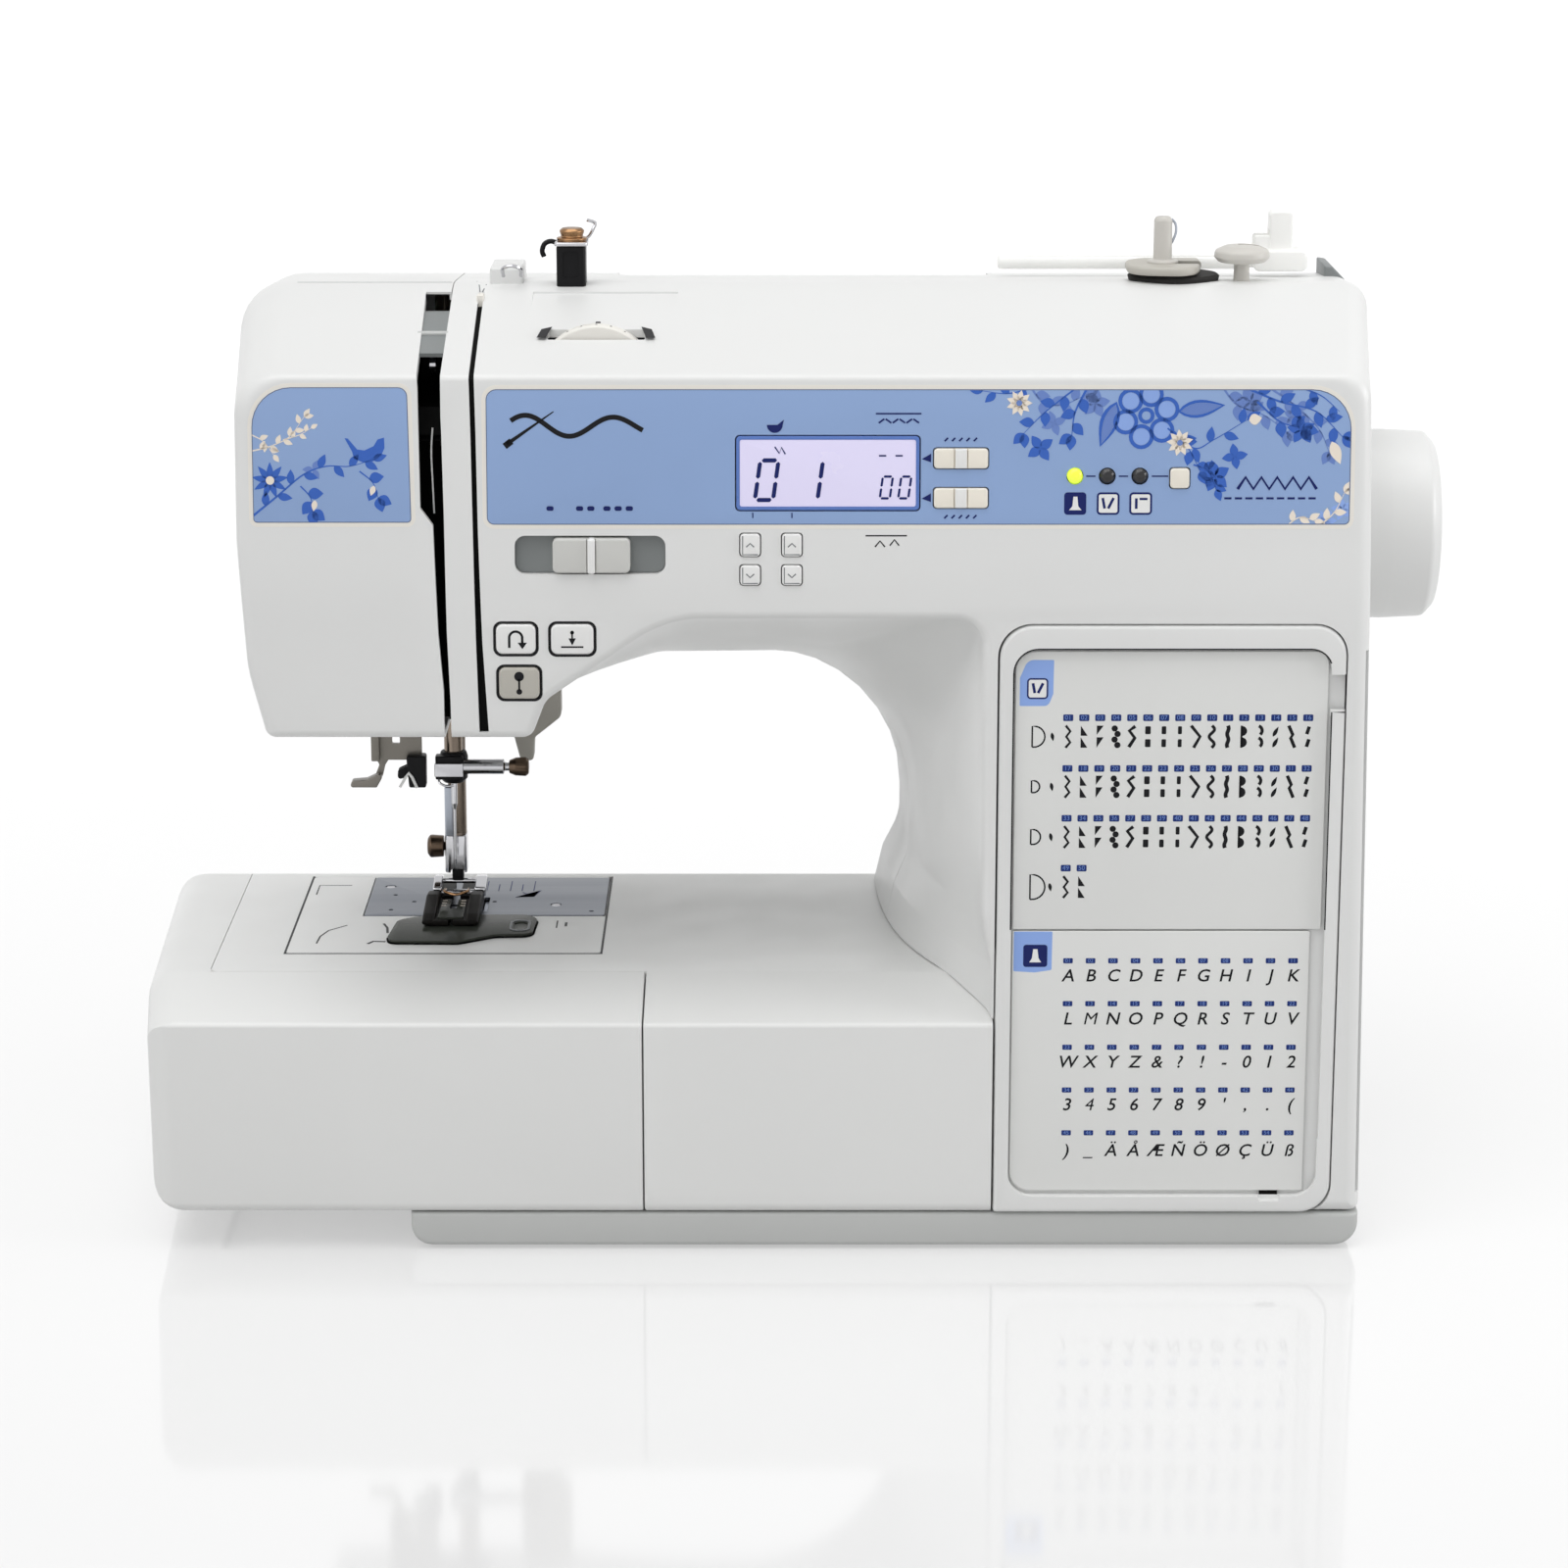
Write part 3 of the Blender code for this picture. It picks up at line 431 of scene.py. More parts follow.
def finish_of(name, colour, roughness, metallic=0, grain=3000, relief=0.03, tint=0.03, streak=(1, 1, 1),
              coat=0, glow=0, clear=0, wear=0.06, patch=14, shine=0.5):
    """A moulded, printed or metal surface: fine grain, uneven gloss and slight colour drift."""
    material, tree, shader = shader_of(name)
    drift = spread(tree, noise(tree, patch, 4, streak if patch > 100 else (1, 1, 1)), 0, 1)
    mix = tree.nodes.new("ShaderNodeMix")
    mix.data_type = "RGBA"
    dark = [channel * (1 - tint) for channel in colour]
    mix.inputs[6].default_value = (*dark, 1)
    mix.inputs[7].default_value = (*colour, 1)
    tree.links.new(drift, mix.inputs[0])
    tree.links.new(mix.outputs[2], shader.inputs["Base Color"])
    gloss = spread(tree, noise(tree, 60, 5, streak), max(roughness - wear, 0.03), roughness + wear)
    tree.links.new(gloss, shader.inputs["Roughness"])
    bump = tree.nodes.new("ShaderNodeBump")
    bump.inputs["Strength"].default_value = relief
    bump.inputs["Distance"].default_value = 0.0002
    tree.links.new(noise(tree, grain, 3, streak), bump.inputs["Height"])
    tree.links.new(bump.outputs["Normal"], shader.inputs["Normal"])
    shader.inputs["Metallic"].default_value = metallic
    shader.inputs["Specular IOR Level"].default_value = shine
    if coat:
        shader.inputs["Coat Weight"].default_value = coat
        shader.inputs["Coat Roughness"].default_value = 0.08
    if glow:
        shader.inputs["Emission Color"].default_value = (*colour, 1)
        shader.inputs["Emission Strength"].default_value = glow
    if clear:
        shader.inputs["Transmission Weight"].default_value = clear
        shader.inputs["IOR"].default_value = 1.49
    return material


def ink_of(name, colour, roughness, tint):
    """A flat printing ink. The black and the grey one also draw painted shadow lines."""
    return finish_of(name, colour, roughness, grain=5000, relief=0.02, tint=tint, shine=0.15)


SHELL = finish_of("shell_white", (0.790, 0.794, 0.786), 0.36, grain=2600, relief=0.05, tint=0.012)
SHELL_BED = finish_of("bed_white", (0.790, 0.794, 0.784), 0.38, grain=2600, relief=0.05, tint=0.012)
CARD = finish_of("card_white", (0.780, 0.785, 0.770), 0.42, grain=1800, relief=0.03, tint=0.02)
CREAM = finish_of("border_cream", (0.86, 0.83, 0.77), 0.35, grain=2600, relief=0.04, tint=0.02)
BASE = finish_of("base_grey", (0.54, 0.55, 0.54), 0.48, grain=2000, relief=0.10, tint=0.03)
PANEL = finish_of("panel_blue", (0.280, 0.410, 0.685), 0.36, grain=5000, relief=0.02, tint=0.04, coat=0.1)
INK_BLUE = ink_of("ink_blue", (0.055, 0.15, 0.56), 0.38, 0.08)
INK_MID = ink_of("ink_mid_blue", (0.17, 0.27, 0.62), 0.38, 0.08)
INK_PALE = ink_of("ink_pale_blue", (0.30, 0.45, 0.86), 0.40, 0.05)
INK_NAVY = ink_of("ink_navy", (0.012, 0.02, 0.13), 0.40, 0.15)
INK_LABEL = ink_of("ink_label_blue", (0.018, 0.04, 0.19), 0.40, 0.15)
INK_CREAM = ink_of("ink_cream", (0.92, 0.83, 0.72), 0.42, 0.05)
# used for print, and for painted shadow lines at the card pocket and round the plate cover
BLACK_INK_AND_SHADE = ink_of("black_ink_and_shade", (0.008, 0.008, 0.01), 0.42, 0.2)
INK_EDGE = ink_of("ink_edge_blue", (0.10, 0.13, 0.24), 0.40, 0.1)
# used for print, and for painted shadow lines on the keys
GREY_INK_AND_SHADE = ink_of("grey_ink_and_shade", (0.22, 0.23, 0.24), 0.45, 0.1)
SCREEN = finish_of("display_lilac", (0.70, 0.66, 0.88), 0.22, grain=6000, relief=0.01, tint=0.03,
                   glow=0.19, coat=0.3)
BEZEL = finish_of("display_frame_blue", (0.10, 0.20, 0.56), 0.3, grain=4000, relief=0.02, tint=0.08)
KEY = finish_of("key_cream", (0.90, 0.85, 0.75), 0.42, grain=2600, relief=0.06, tint=0.03)
KNOB = finish_of("knob_grey", (0.62, 0.62, 0.595), 0.40, grain=2600, relief=0.06, tint=0.03)
BUTTON = finish_of("button_white", (0.86, 0.86, 0.85), 0.40, grain=2600, relief=0.06, tint=0.02)
BEIGE = finish_of("button_beige", (0.50, 0.48, 0.43), 0.45, grain=2200, relief=0.08, tint=0.04)
PIN_WHITE = finish_of("pin_ivory", (0.84, 0.82, 0.77), 0.40, grain=2400, relief=0.05, tint=0.03)
SLOT_GREY = finish_of("slot_grey", (0.21, 0.225, 0.225), 0.5, grain=1800, relief=0.10, tint=0.06)
LAMP = finish_of("lamp_yellow", (0.62, 0.78, 0.05), 0.2, grain=4000, relief=0.01, tint=0.1, glow=0.75)
LAMP_OFF = finish_of("lamp_dark", (0.012, 0.012, 0.014), 0.16, grain=4000, relief=0.01, tint=0.1)
SMOKE = finish_of("smoked_cover", (0.050, 0.055, 0.046), 0.20, grain=3000, relief=0.01, tint=0.1,
                  clear=0.10, shine=0.03)
SOLE = finish_of("foot_black", (0.014, 0.013, 0.012), 0.42, grain=2400, relief=0.03, tint=0.1, shine=0.04)
# painted light: a faint glow makes the white spool holder and rod brighter than the lamps light them
HOLDER_WITH_PAINTED_GLOW = finish_of("holder_white_painted_glow", (0.92, 0.92, 0.90), 0.40, grain=2400, relief=0.05, tint=0.02,
                   glow=0.08)
PIN_GREY = finish_of("pin_grey", (0.62, 0.60, 0.56), 0.40, grain=2400, relief=0.05, tint=0.03)
BLACK = finish_of("black_plastic", (0.009, 0.009, 0.010), 0.38, grain=1600, relief=0.12, tint=0.15,
                  shine=0.12)
# painted shade: a near-black finish laid inside slots, grooves, wells and the thumb slot, where only
# shade falls
PAINTED_SHADE_BLACK = finish_of("painted_shade_black", (0.004, 0.004, 0.004), 0.75, grain=1200, relief=0.1, tint=0.2, shine=0.06)
RUBBER = finish_of("black_rubber", (0.022, 0.021, 0.020), 0.72, grain=1200, relief=0.25, tint=0.2,
                   shine=0.2)
CHROME = finish_of("chrome", (0.52, 0.52, 0.54), 0.10, 1, 700, 0.04, 0.05, (1, 1, 0.05), wear=0.04)
BAR = finish_of("polished_bar", (0.32, 0.26, 0.21), 0.16, 1, 700, 0.04, 0.85, (1, 1, 0.02), wear=0.04,
                patch=240)
STEEL = finish_of("brushed_steel", (0.40, 0.43, 0.49), 0.33, 1, 1100, 0.14, 0.12, (0.03, 1, 1))
PLATE = finish_of("needle_plate_steel", (0.165, 0.180, 0.210), 0.36, 0.85, 1100, 0.10, 0.10, (0.03, 1, 1))
COPPER = finish_of("copper_cap", (0.30, 0.17, 0.085), 0.22, 1, 900, 0.06, 0.2)
BRONZE = finish_of("bronze_screw", (0.12, 0.085, 0.06), 0.30, 1, 900, 0.08, 0.3)
TAUPE = finish_of("threader_metal", (0.22, 0.205, 0.18), 0.34, 0.6, 900, 0.10, 0.12, (0.05, 1, 1))
CAST = finish_of("cast_aluminium", (0.42, 0.43, 0.44), 0.55, 1, 500, 0.45, 0.15)
CLEAR = finish_of("clear_plastic", (0.82, 0.85, 0.87), 0.10, grain=2500, relief=0.02, tint=0.03,
                  clear=0.85)
WINDING = finish_of("motor_steel", (0.30, 0.31, 0.33), 0.42, 1, 700, 0.2, 0.2, (0.05, 1, 1))

# The part's colour slot that each material belongs to.
SLOT_GROUPS = {
    "casing_white": (SHELL, SHELL_BED, CREAM, BUTTON, PIN_WHITE, PIN_GREY, HOLDER_WITH_PAINTED_GLOW),
    "card_white": (CARD,),
    "panel_blue": (PANEL, BEZEL, INK_BLUE, INK_MID, INK_PALE, INK_NAVY, INK_LABEL, INK_CREAM, INK_EDGE),
    "display_lilac": (SCREEN,),
    "lamp_yellow": (LAMP,),
    "key_cream": (KEY, KNOB),
    "button_beige": (BEIGE,),
    "base_grey": (BASE, SLOT_GREY),
    "black_plastic": (BLACK, PAINTED_SHADE_BLACK, SOLE, LAMP_OFF, BLACK_INK_AND_SHADE, GREY_INK_AND_SHADE),
    "smoked_cover": (SMOKE,),
    "clear_plastic": (CLEAR,),
    "black_rubber": (RUBBER,),
    "steel": (STEEL, PLATE, TAUPE),
    "chrome": (CHROME, BAR, COPPER, BRONZE),
}
SLOT_OF = {material.name: slot for slot, group in SLOT_GROUPS.items() for material in group}


def carry_over():
    """Finishes for the CAD nodes that stay as they are."""
    table = {
        "main_frame": CAST, "upper_shaft": STEEL, "lower_shaft": STEEL, "timing_belt": RUBBER,
        "drive_belt": RUBBER, "motor_pulley": BLACK, "motor": WINDING, "rotary_hook": STEEL,
        "bobbin_case": BLACK, "bobbin": CLEAR, "feed_dog": STEEL,
    }
    for name, material in table.items():
        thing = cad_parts[name]
        thing.data.materials.clear()
        thing.data.materials.append(material)


# ---- The body's shape --------------------------------------------------------------------------------


def lean(z):
    """How far the front face has leaned back at a height, with a soft break."""
    start = FACE_BREAK - BREAK_HALF
    if z <= start:
        return 0
    if z < FACE_BREAK + BREAK_HALF:
        return FACE_LEAN * (z - start) ** 2 / (4 * BREAK_HALF)
    return FACE_LEAN * (z - FACE_BREAK)


def face_y(z):
    return FRONT + lean(z)


def leaned(point):
    """Leans a point of the upright form: all of it at the front, none of it behind the ridge."""
    share = max(0, min(1, (RIDGE_Y - point[1]) / (RIDGE_Y - FRONT)))
    return Vector((point[0], point[1] + lean(point[2]) * share, point[2]))


TOP_LINE = rounded([(FRONT, 200, 0), (FRONT, FACE_TOP, 2), (RIDGE_Y, RIDGE_TOP, 40), (35, 294, 14),
                    (ARM_REAR, 280, 12), (ARM_REAR, 200, 0)], 8)[1:-1]


def top_at(y):
    return between(y, TOP_LINE)


def bed_at(y):
    """The bed's top, which slopes down to its front edge."""
    return between(y, [(FRONT, 75.2), (BED_EDGE, BED_TOP)])


def throat_share(y):
    """How far the opening under the arm has changed from its wide front shape to its rear one."""
    return 0 if y <= -84 else 1 - math.exp(-(((y + 84) / 50) ** 1.35))


def body_corners(y):
    """The outline of arm, head and column across the machine, at a depth."""
    share = throat_share(y)
    ledge = bed_at(y) + 0.3

    def mid(front, rear):
        return tuple(a + (b - a) * share for a, b in zip(front, rear))

    top = top_at(y)
    right_round = between(y, [(FRONT, 9), (-60, 7.5), (RIDGE_Y, 7)])
    left_round = between(y, [(FRONT, 13), (-60, 14), (RIDGE_Y, 14.5)])
    right_edge = between(y, [(FRONT, 173.4), (RIDGE_Y, 180.8)])
    left_edge = between(y, [(FRONT, -170.8), (RIDGE_Y, -177)])
    return [
        (COLUMN_LEFT, BED_BOTTOM, 0.3),
        (177.8, BED_BOTTOM, 3),
        (174.6, 250, 40),
        (right_edge, top, right_round),
        (left_edge, top, left_round),
        (-171.3, 228, 60),
        (-168.8, 188, 50),
        (-163.4, HEAD_LOW, 3.5),
        mid((-82, HEAD_LOW, 4), (-84, HEAD_LOW, 2)),
        mid((-77.5, 178.5, 8), (-77, 168.4, 5)),
        mid((-40, 204, 35), (-45, 171, 10)),
        mid((56.4, 204, 8), (34.8, 172, 56)),
        mid((57, 110, 14), (34.8, 106, 20)),
        mid((60.2, 93, 6), (29, 95, 8)),
        mid((60.6, ledge, 0.2), (26, ledge, 0.2)),
        (COLUMN_LEFT, ledge, 0.2),
    ]


def body_sides(rim, under, seam):
    """Inward moves of the outline's sides: the outer ones, those under the arm and those at the bed."""
    return [rim, rim, rim, 0, rim, rim, rim, *[under] * 7, seam, seam]


def body_ring(y, distances, steps=8):
    return [(u, y, v) for u, v in rounded(inset(body_corners(y), distances), steps)]


INNER_STATIONS = [-80, -74, -66, -58, -50, -42, -34, -27, -24, -21, -18, -15, -8, 0, 6, 12, 20, 27,
                  31, 33, 35, 37, 39, 43, 47, 50]


def body_outer():
    rings = []
    for a, d in quarter(RIM, 8):
        rings.append(body_ring(FRONT + a, body_sides(d, d * 0.7, min(d, 0.5))))
    for y in INNER_STATIONS:
        rings.append(body_ring(y, 0))
    for a, d in reversed(quarter(RIM, 6)):
        rings.append(body_ring(ARM_REAR - a, body_sides(d, d * 0.6, min(d, 0.5))))
    return bend(reworked(loft(rings), split_at_break), leaned)


def body_inner():
    stations = [FRONT + WALL, FRONT + RIM, *INNER_STATIONS, ARM_REAR - RIM, ARM_REAR - WALL]
    rings = [body_ring(y, WALL) for y in stations]
    return bend(reworked(loft(rings), split_at_break), leaned)


def split_at_break(mesh):
    """Cuts the upright form across, so that its front face can bend at the break."""
    for k in range(-3, 4):
        z = FACE_BREAK + BREAK_HALF * k / 3
        every = [*mesh.verts, *mesh.edges, *mesh.faces]
        bmesh.ops.bisect_plane(mesh, geom=every, plane_co=(0, 0, z), plane_no=(0, 0, 1))


def on_face(corners, out, depth, rim=0.3, steps=6):
    """A plate on the leaning front face: its outline in X and Z, standing out of the face and into it."""
    plate = soft_prism(corners, "Y", -out, depth, rim, steps, (True, False)) if rim else \
        prism(rounded(corners, steps), "Y", -out, depth)
    return bend(plate, lambda p: Vector((p.x, p.y + face_y(p.z), p.z)))


def face_cutter(x0, x1, z0, z1, radius=1, depth=8):
    return on_face(rectangle(x0, z0, x1, z1, radius), 6, depth, 0)


SLOT_LEFT = [(-108, 150), (-108.3, 178.6), (-109.9, 200), (-110.6, 221), (-111, 233.4), (-114.8, 238.6),
             (-115.2, 275), (-116.8, 300), (-116.8, 320)]
SLOT_RIGHT = [(-109.8, 320), (-109.5, 292), (-108.6, 276), (-108.1, 262), (-107.6, 236), (-107.2, 200),
              (-106.5, 178.6), (-106.3, 150)]
SLOT_END = -26.5
GROOVE = [(-97.8, 169.2), (-94.9, 169.2), (-96.4, 197), (-97.3, 232), (-97.7, 262), (-98.2, 285),
          (-98.6, 320), (-100.2, 320), (-99.8, 285), (-99.3, 262), (-98.9, 232), (-98.4, 197)]
GROOVE_END = -27
BUTTONS = ["reverse_button", "needle_position_button", "start_stop_button"]
KEYS = ["stitch_tens_up_key", "stitch_ones_up_key", "stitch_tens_down_key", "stitch_ones_down_key",
        "mode_key", "stitch_length_key", "stitch_width_key"]


def casing():
    """The face cover, front cover and rear cover, cut from one hollow form so that their seams match."""
    whole = cut(body_outer(), body_inner())
    head = common(copy_of(whole), box(-BEYOND, HEAD_JOIN - 0.15, -BEYOND, BEYOND, 0, BEYOND))
    slot = [(BEYOND, 150), (BEYOND, 320), *reversed(SLOT_LEFT)]
    head = cut(head, prism(slot, "Y", -120, SLOT_END))
    head = cut(head, box(-142, -90, -8, 48, 150, 176))
    head = cut(head, box(-117.2, -109.2, SLOT_END - 2, SLOT_END + 4, 284, top_at(SLOT_END) - 0.9))
    show(head, "head_cover", SHELL, replaces=["face_cover"])

    front = common(copy_of(whole), box(HEAD_JOIN + 0.15, BEYOND, -BEYOND, SPLIT - 0.15, 0, BEYOND))
    front = cut(front, prism([*SLOT_RIGHT, (-130, 150), (-130, 320)], "Y", -120, SLOT_END))
    front = cut(front, prism(GROOVE, "Y", -120, GROOVE_END))
    front = cut(front, *front_openings())
    show(front, "front_casing", SHELL, replaces=["front_cover"])

    rear = common(whole, box(HEAD_JOIN + 0.15, BEYOND, SPLIT + 0.15, BEYOND, 0, BEYOND))
    rear = join(rear, rear_bulge())
    hollow = rounded(inset([(27.5, 13, 0), *BULGE[1:4], (27.5, 152, 0)], WALL))
    rear = cut(rear, prism(hollow, "X", 65, 173))
    rear = cut(rear, box(-99, -86, 45.5, 70, 150, 181))
    rear = cut(rear, block(-58, 62, 20, 47, 284.5, 320, 4, "Z", 1))
    rear = cut(rear, box(165, 190, 24, 62, 36, 84))
    rear = cut(rear, block(40, 61.5, 10, 60, 22.5, 78, 1, "X", 0.5))
    for k in range(9):
        rear = cut(rear, block(80, 158, 80, 95, 38 + 8 * k, 41.5 + 8 * k, 1.7, "Y", 0.5))
    show(rear, "rear_casing", SHELL, replaces=["rear_cover"])


BULGE_REAR = 89
BULGE = [(20, BED_BOTTOM, 0), (BULGE_REAR, BED_BOTTOM, 5), (BULGE_REAR, 118, 18), (53, 152, 8),
         (20, 152, 0)]


def rear_bulge():
    return soft_prism(BULGE, "X", COLUMN_LEFT, 176.5, 5, 8)


def front_openings():
    cuts = [on_face([(-95, 233.4, 2.5), (168.1, 233.4, 2), (168.1, 275.1, 12.5), (-95, 275.1, 3.5)], 6,
                    1.3, 0, 8)]
    x0, x1, z0, z1 = face_mm("lcd_display")
    cuts.append(face_cutter(x0 - 0.4, x1 + 0.4, z0 - 0.4, z1 + 0.4))
    cuts.append(face_cutter(-86.2, -40.3, 218.6, 230.4, 3.2))
    for name in [*BUTTONS, *KEYS]:
        x0, x1, z0, z1 = face_mm(name)
        gap = 0.7 if name in BUTTONS else 0.35
        cuts.append(face_cutter(x0 - gap, x1 + gap, z0 - gap, z1 + gap, 2.2 if name in BUTTONS else 1.2))
    for x in LAMP_XS:
        cuts.append(rod("Y", x, LAMP_Z, -100, -78, 2.7, 0))
    opening = [(61.3, 12, 0.3), (168.5, 12, 10.1), (168.5, 203.3, 10.1), (61.3, 203.3, 10.5)]
    cuts.append(prism(rounded(opening, 8), "Y", -120, -84.5))
    cuts.append(box(168, 190, -87.7, -85.8, 19.2, 194.6))
    cuts.append(dial_shelf())
    cuts.append(block(-77, -47, -58.9, -52.1, 270, 310, 0.6, "Z", 0.2))
    cuts.append(rod("X", SHAFT_Y, SHAFT_Z, 160, 190, 7, 0))
    cuts.append(box(-112, -101.6, -8, 48, 150, 176))
    cuts.append(box(50, 64, -52, 50, 24, 76))
    return cuts


def shelf_z(y):
    """The height of the dial's shelf, which starts level with the slope and ends a little below it."""
    start = leaned((0, SHELF_START, top_at(SHELF_START))).z
    end = top_at(SHELF_END) - SHELF_DROP
    return start + (end - start) * (y - SHELF_START) / (SHELF_END - SHELF_START)


def dial_shelf():
    """The flatter field round the tension dial, let into the sloping top."""
    outline = [(SHELF_START, shelf_z(SHELF_START)), (SHELF_END, shelf_z(SHELF_END)), (SHELF_END + 1, 304),
               (SHELF_START, 304)]
    return prism(outline, "X", -83, -37.5)


# ---- Bed ---------------------------------------------------------------------------------------------


def bed_corners():
    return [(FRONT, BED_BOTTOM, 3.5), (BED_REAR, BED_BOTTOM, 3.5), (BED_REAR, BED_TOP, 3.5),
            (BED_EDGE, BED_TOP, 14), (FRONT, 75.2, 1.8)]


def bed_piece(x0, x1, left_rim, right_rim, shrink=0):
    """A length of bed with rounded ends: its section along X."""
    stations = []
    for a, d in quarter(left_rim, 6):
        stations.append((x0 + a, d))
    for a, d in reversed(quarter(right_rim, 4)):
        stations.append((x1 - a, d))
    rings = []
    for x, d in stations:
        outline = rounded(inset(bed_corners(), d + shrink), 8)
        rings.append([(x, y, z) for y, z in outline])
    return loft(rings)


def slanted_end(point):
    """The bed's left end lies further out towards the rear."""
    reach = max(0, min(1, (-150 - point.x) / 50))
    back = max(0, min(1, (point.y - FRONT) / 125))
    under = max(0, 30 - point.z) / 30
    return Vector((point.x - END_SWEEP * reach * math.sin(back * math.pi / 2) + 1.4 * reach * under,
                   point.y, point.z))


def foot_centre(number):
    x0, x1, y0, y1 = node_mm(f"rubber_foot_{number}")[:4]
    return (x0 + x1) / 2, (y0 + y1) / 2


def make_bed():
    outer = bend(bed_piece(-203.8, -48.75, 9, 0.5), slanted_end)
    inner = bend(bed_piece(-203.8 + WALL, -46, 6, 0.2, WALL), slanted_end)
    slide = cut(outer, inner, block(-188.05, 0, BED_EDGE - 0.12, 100, -20, 120, 3.5, "Z", 0.2))
    slide = cut(slide, block(-180, -60, -70, -40, 20, 70, 4, "Y", 0.5))
    show(slide, "bed_attachment", SHELL_BED, "attachment", ["flatbed_attachment"])

    low = box(-250, 100, BED_EDGE - 100, 100, 0, 20)
    arm = cut(bed_piece(-187.9, 61.2, 0.25, 0.2), copy_of(low))
    arm = cut(arm, box(-250, -48, -120, BED_EDGE, 0, 120))
    front = common(bed_piece(-48.3, 61.2, 0.8, 0.2), box(-60, 62, -120, -50, 0, 120))
    shell = join(arm, front)
    hollow = cut(bed_piece(-187.9 + WALL, 66, 0.8, 0.2, WALL), box(-250, 100, -120, 100, 0, 22.5))
    hollow = cut(hollow, box(-250, -45.5, -120, BED_EDGE + WALL, 0, 120))
    nose = common(bed_piece(-45.8, 66, 0.6, 0.2, WALL), box(-60, 70, -120, -40, 0, 120))
    shell = cut(shell, join(hollow, nose))
    shell = cut(shell, box(-166.3, -63.2, -35.2, 56.9, 79.8, 90), box(-160, -70, -30, 52, 70, 90))
    bpy.data.objects.remove(low)
    show(shell, "bed_cover", SHELL_BED, replaces=["free_arm_cover"])

    corners = [(-122.3, 1.2, 6.5), (177.6, 1.2, 7.5), (177.6, 12.2, 0), (-122.3, 12.2, 0)]
    tray = soft_prism(corners, "Y", -87.8, 87.5, 1.5, 8)
    tray = cut(tray, box(-200, COLUMN_LEFT, 62.5, 100, 0, 20), box(-119, 174.5, -84.5, 59.5, 6, 20))
    feet = [foot_centre(k) for k in range(1, 5)]
    for x, y in feet:
        tray = cut(tray, rod("Z", x, y, -1, 3.05, 9.6, 0))
    grille = []
    for k in range(8):
        grille.append(block(70 + 9 * k, 74 + 9 * k, -20, 20, 0, 8, 1.9, "Z", 0.3))
    tray = cut(tray, *grille)
    show(tray, "base_tray", BASE, replaces=["base_plate"])
    for k, (x, y) in enumerate(feet, 1):
        foot = turned("Z", x, y, [(0.02, 0.02, 0), (0.02, 8.6, 0.8), (0.9, 9, 0.5), (2.9, 9, 0),
                                  (2.9, 0.02, 0)])
        foot = cut(foot, turned("Z", x, y, [(-1, 5.2, 0), (0.6, 5, 0.3), (0.8, 0.02, 0)]))
        show(foot, f"table_foot_{k}", RUBBER, replaces=[f"rubber_foot_{k}"])


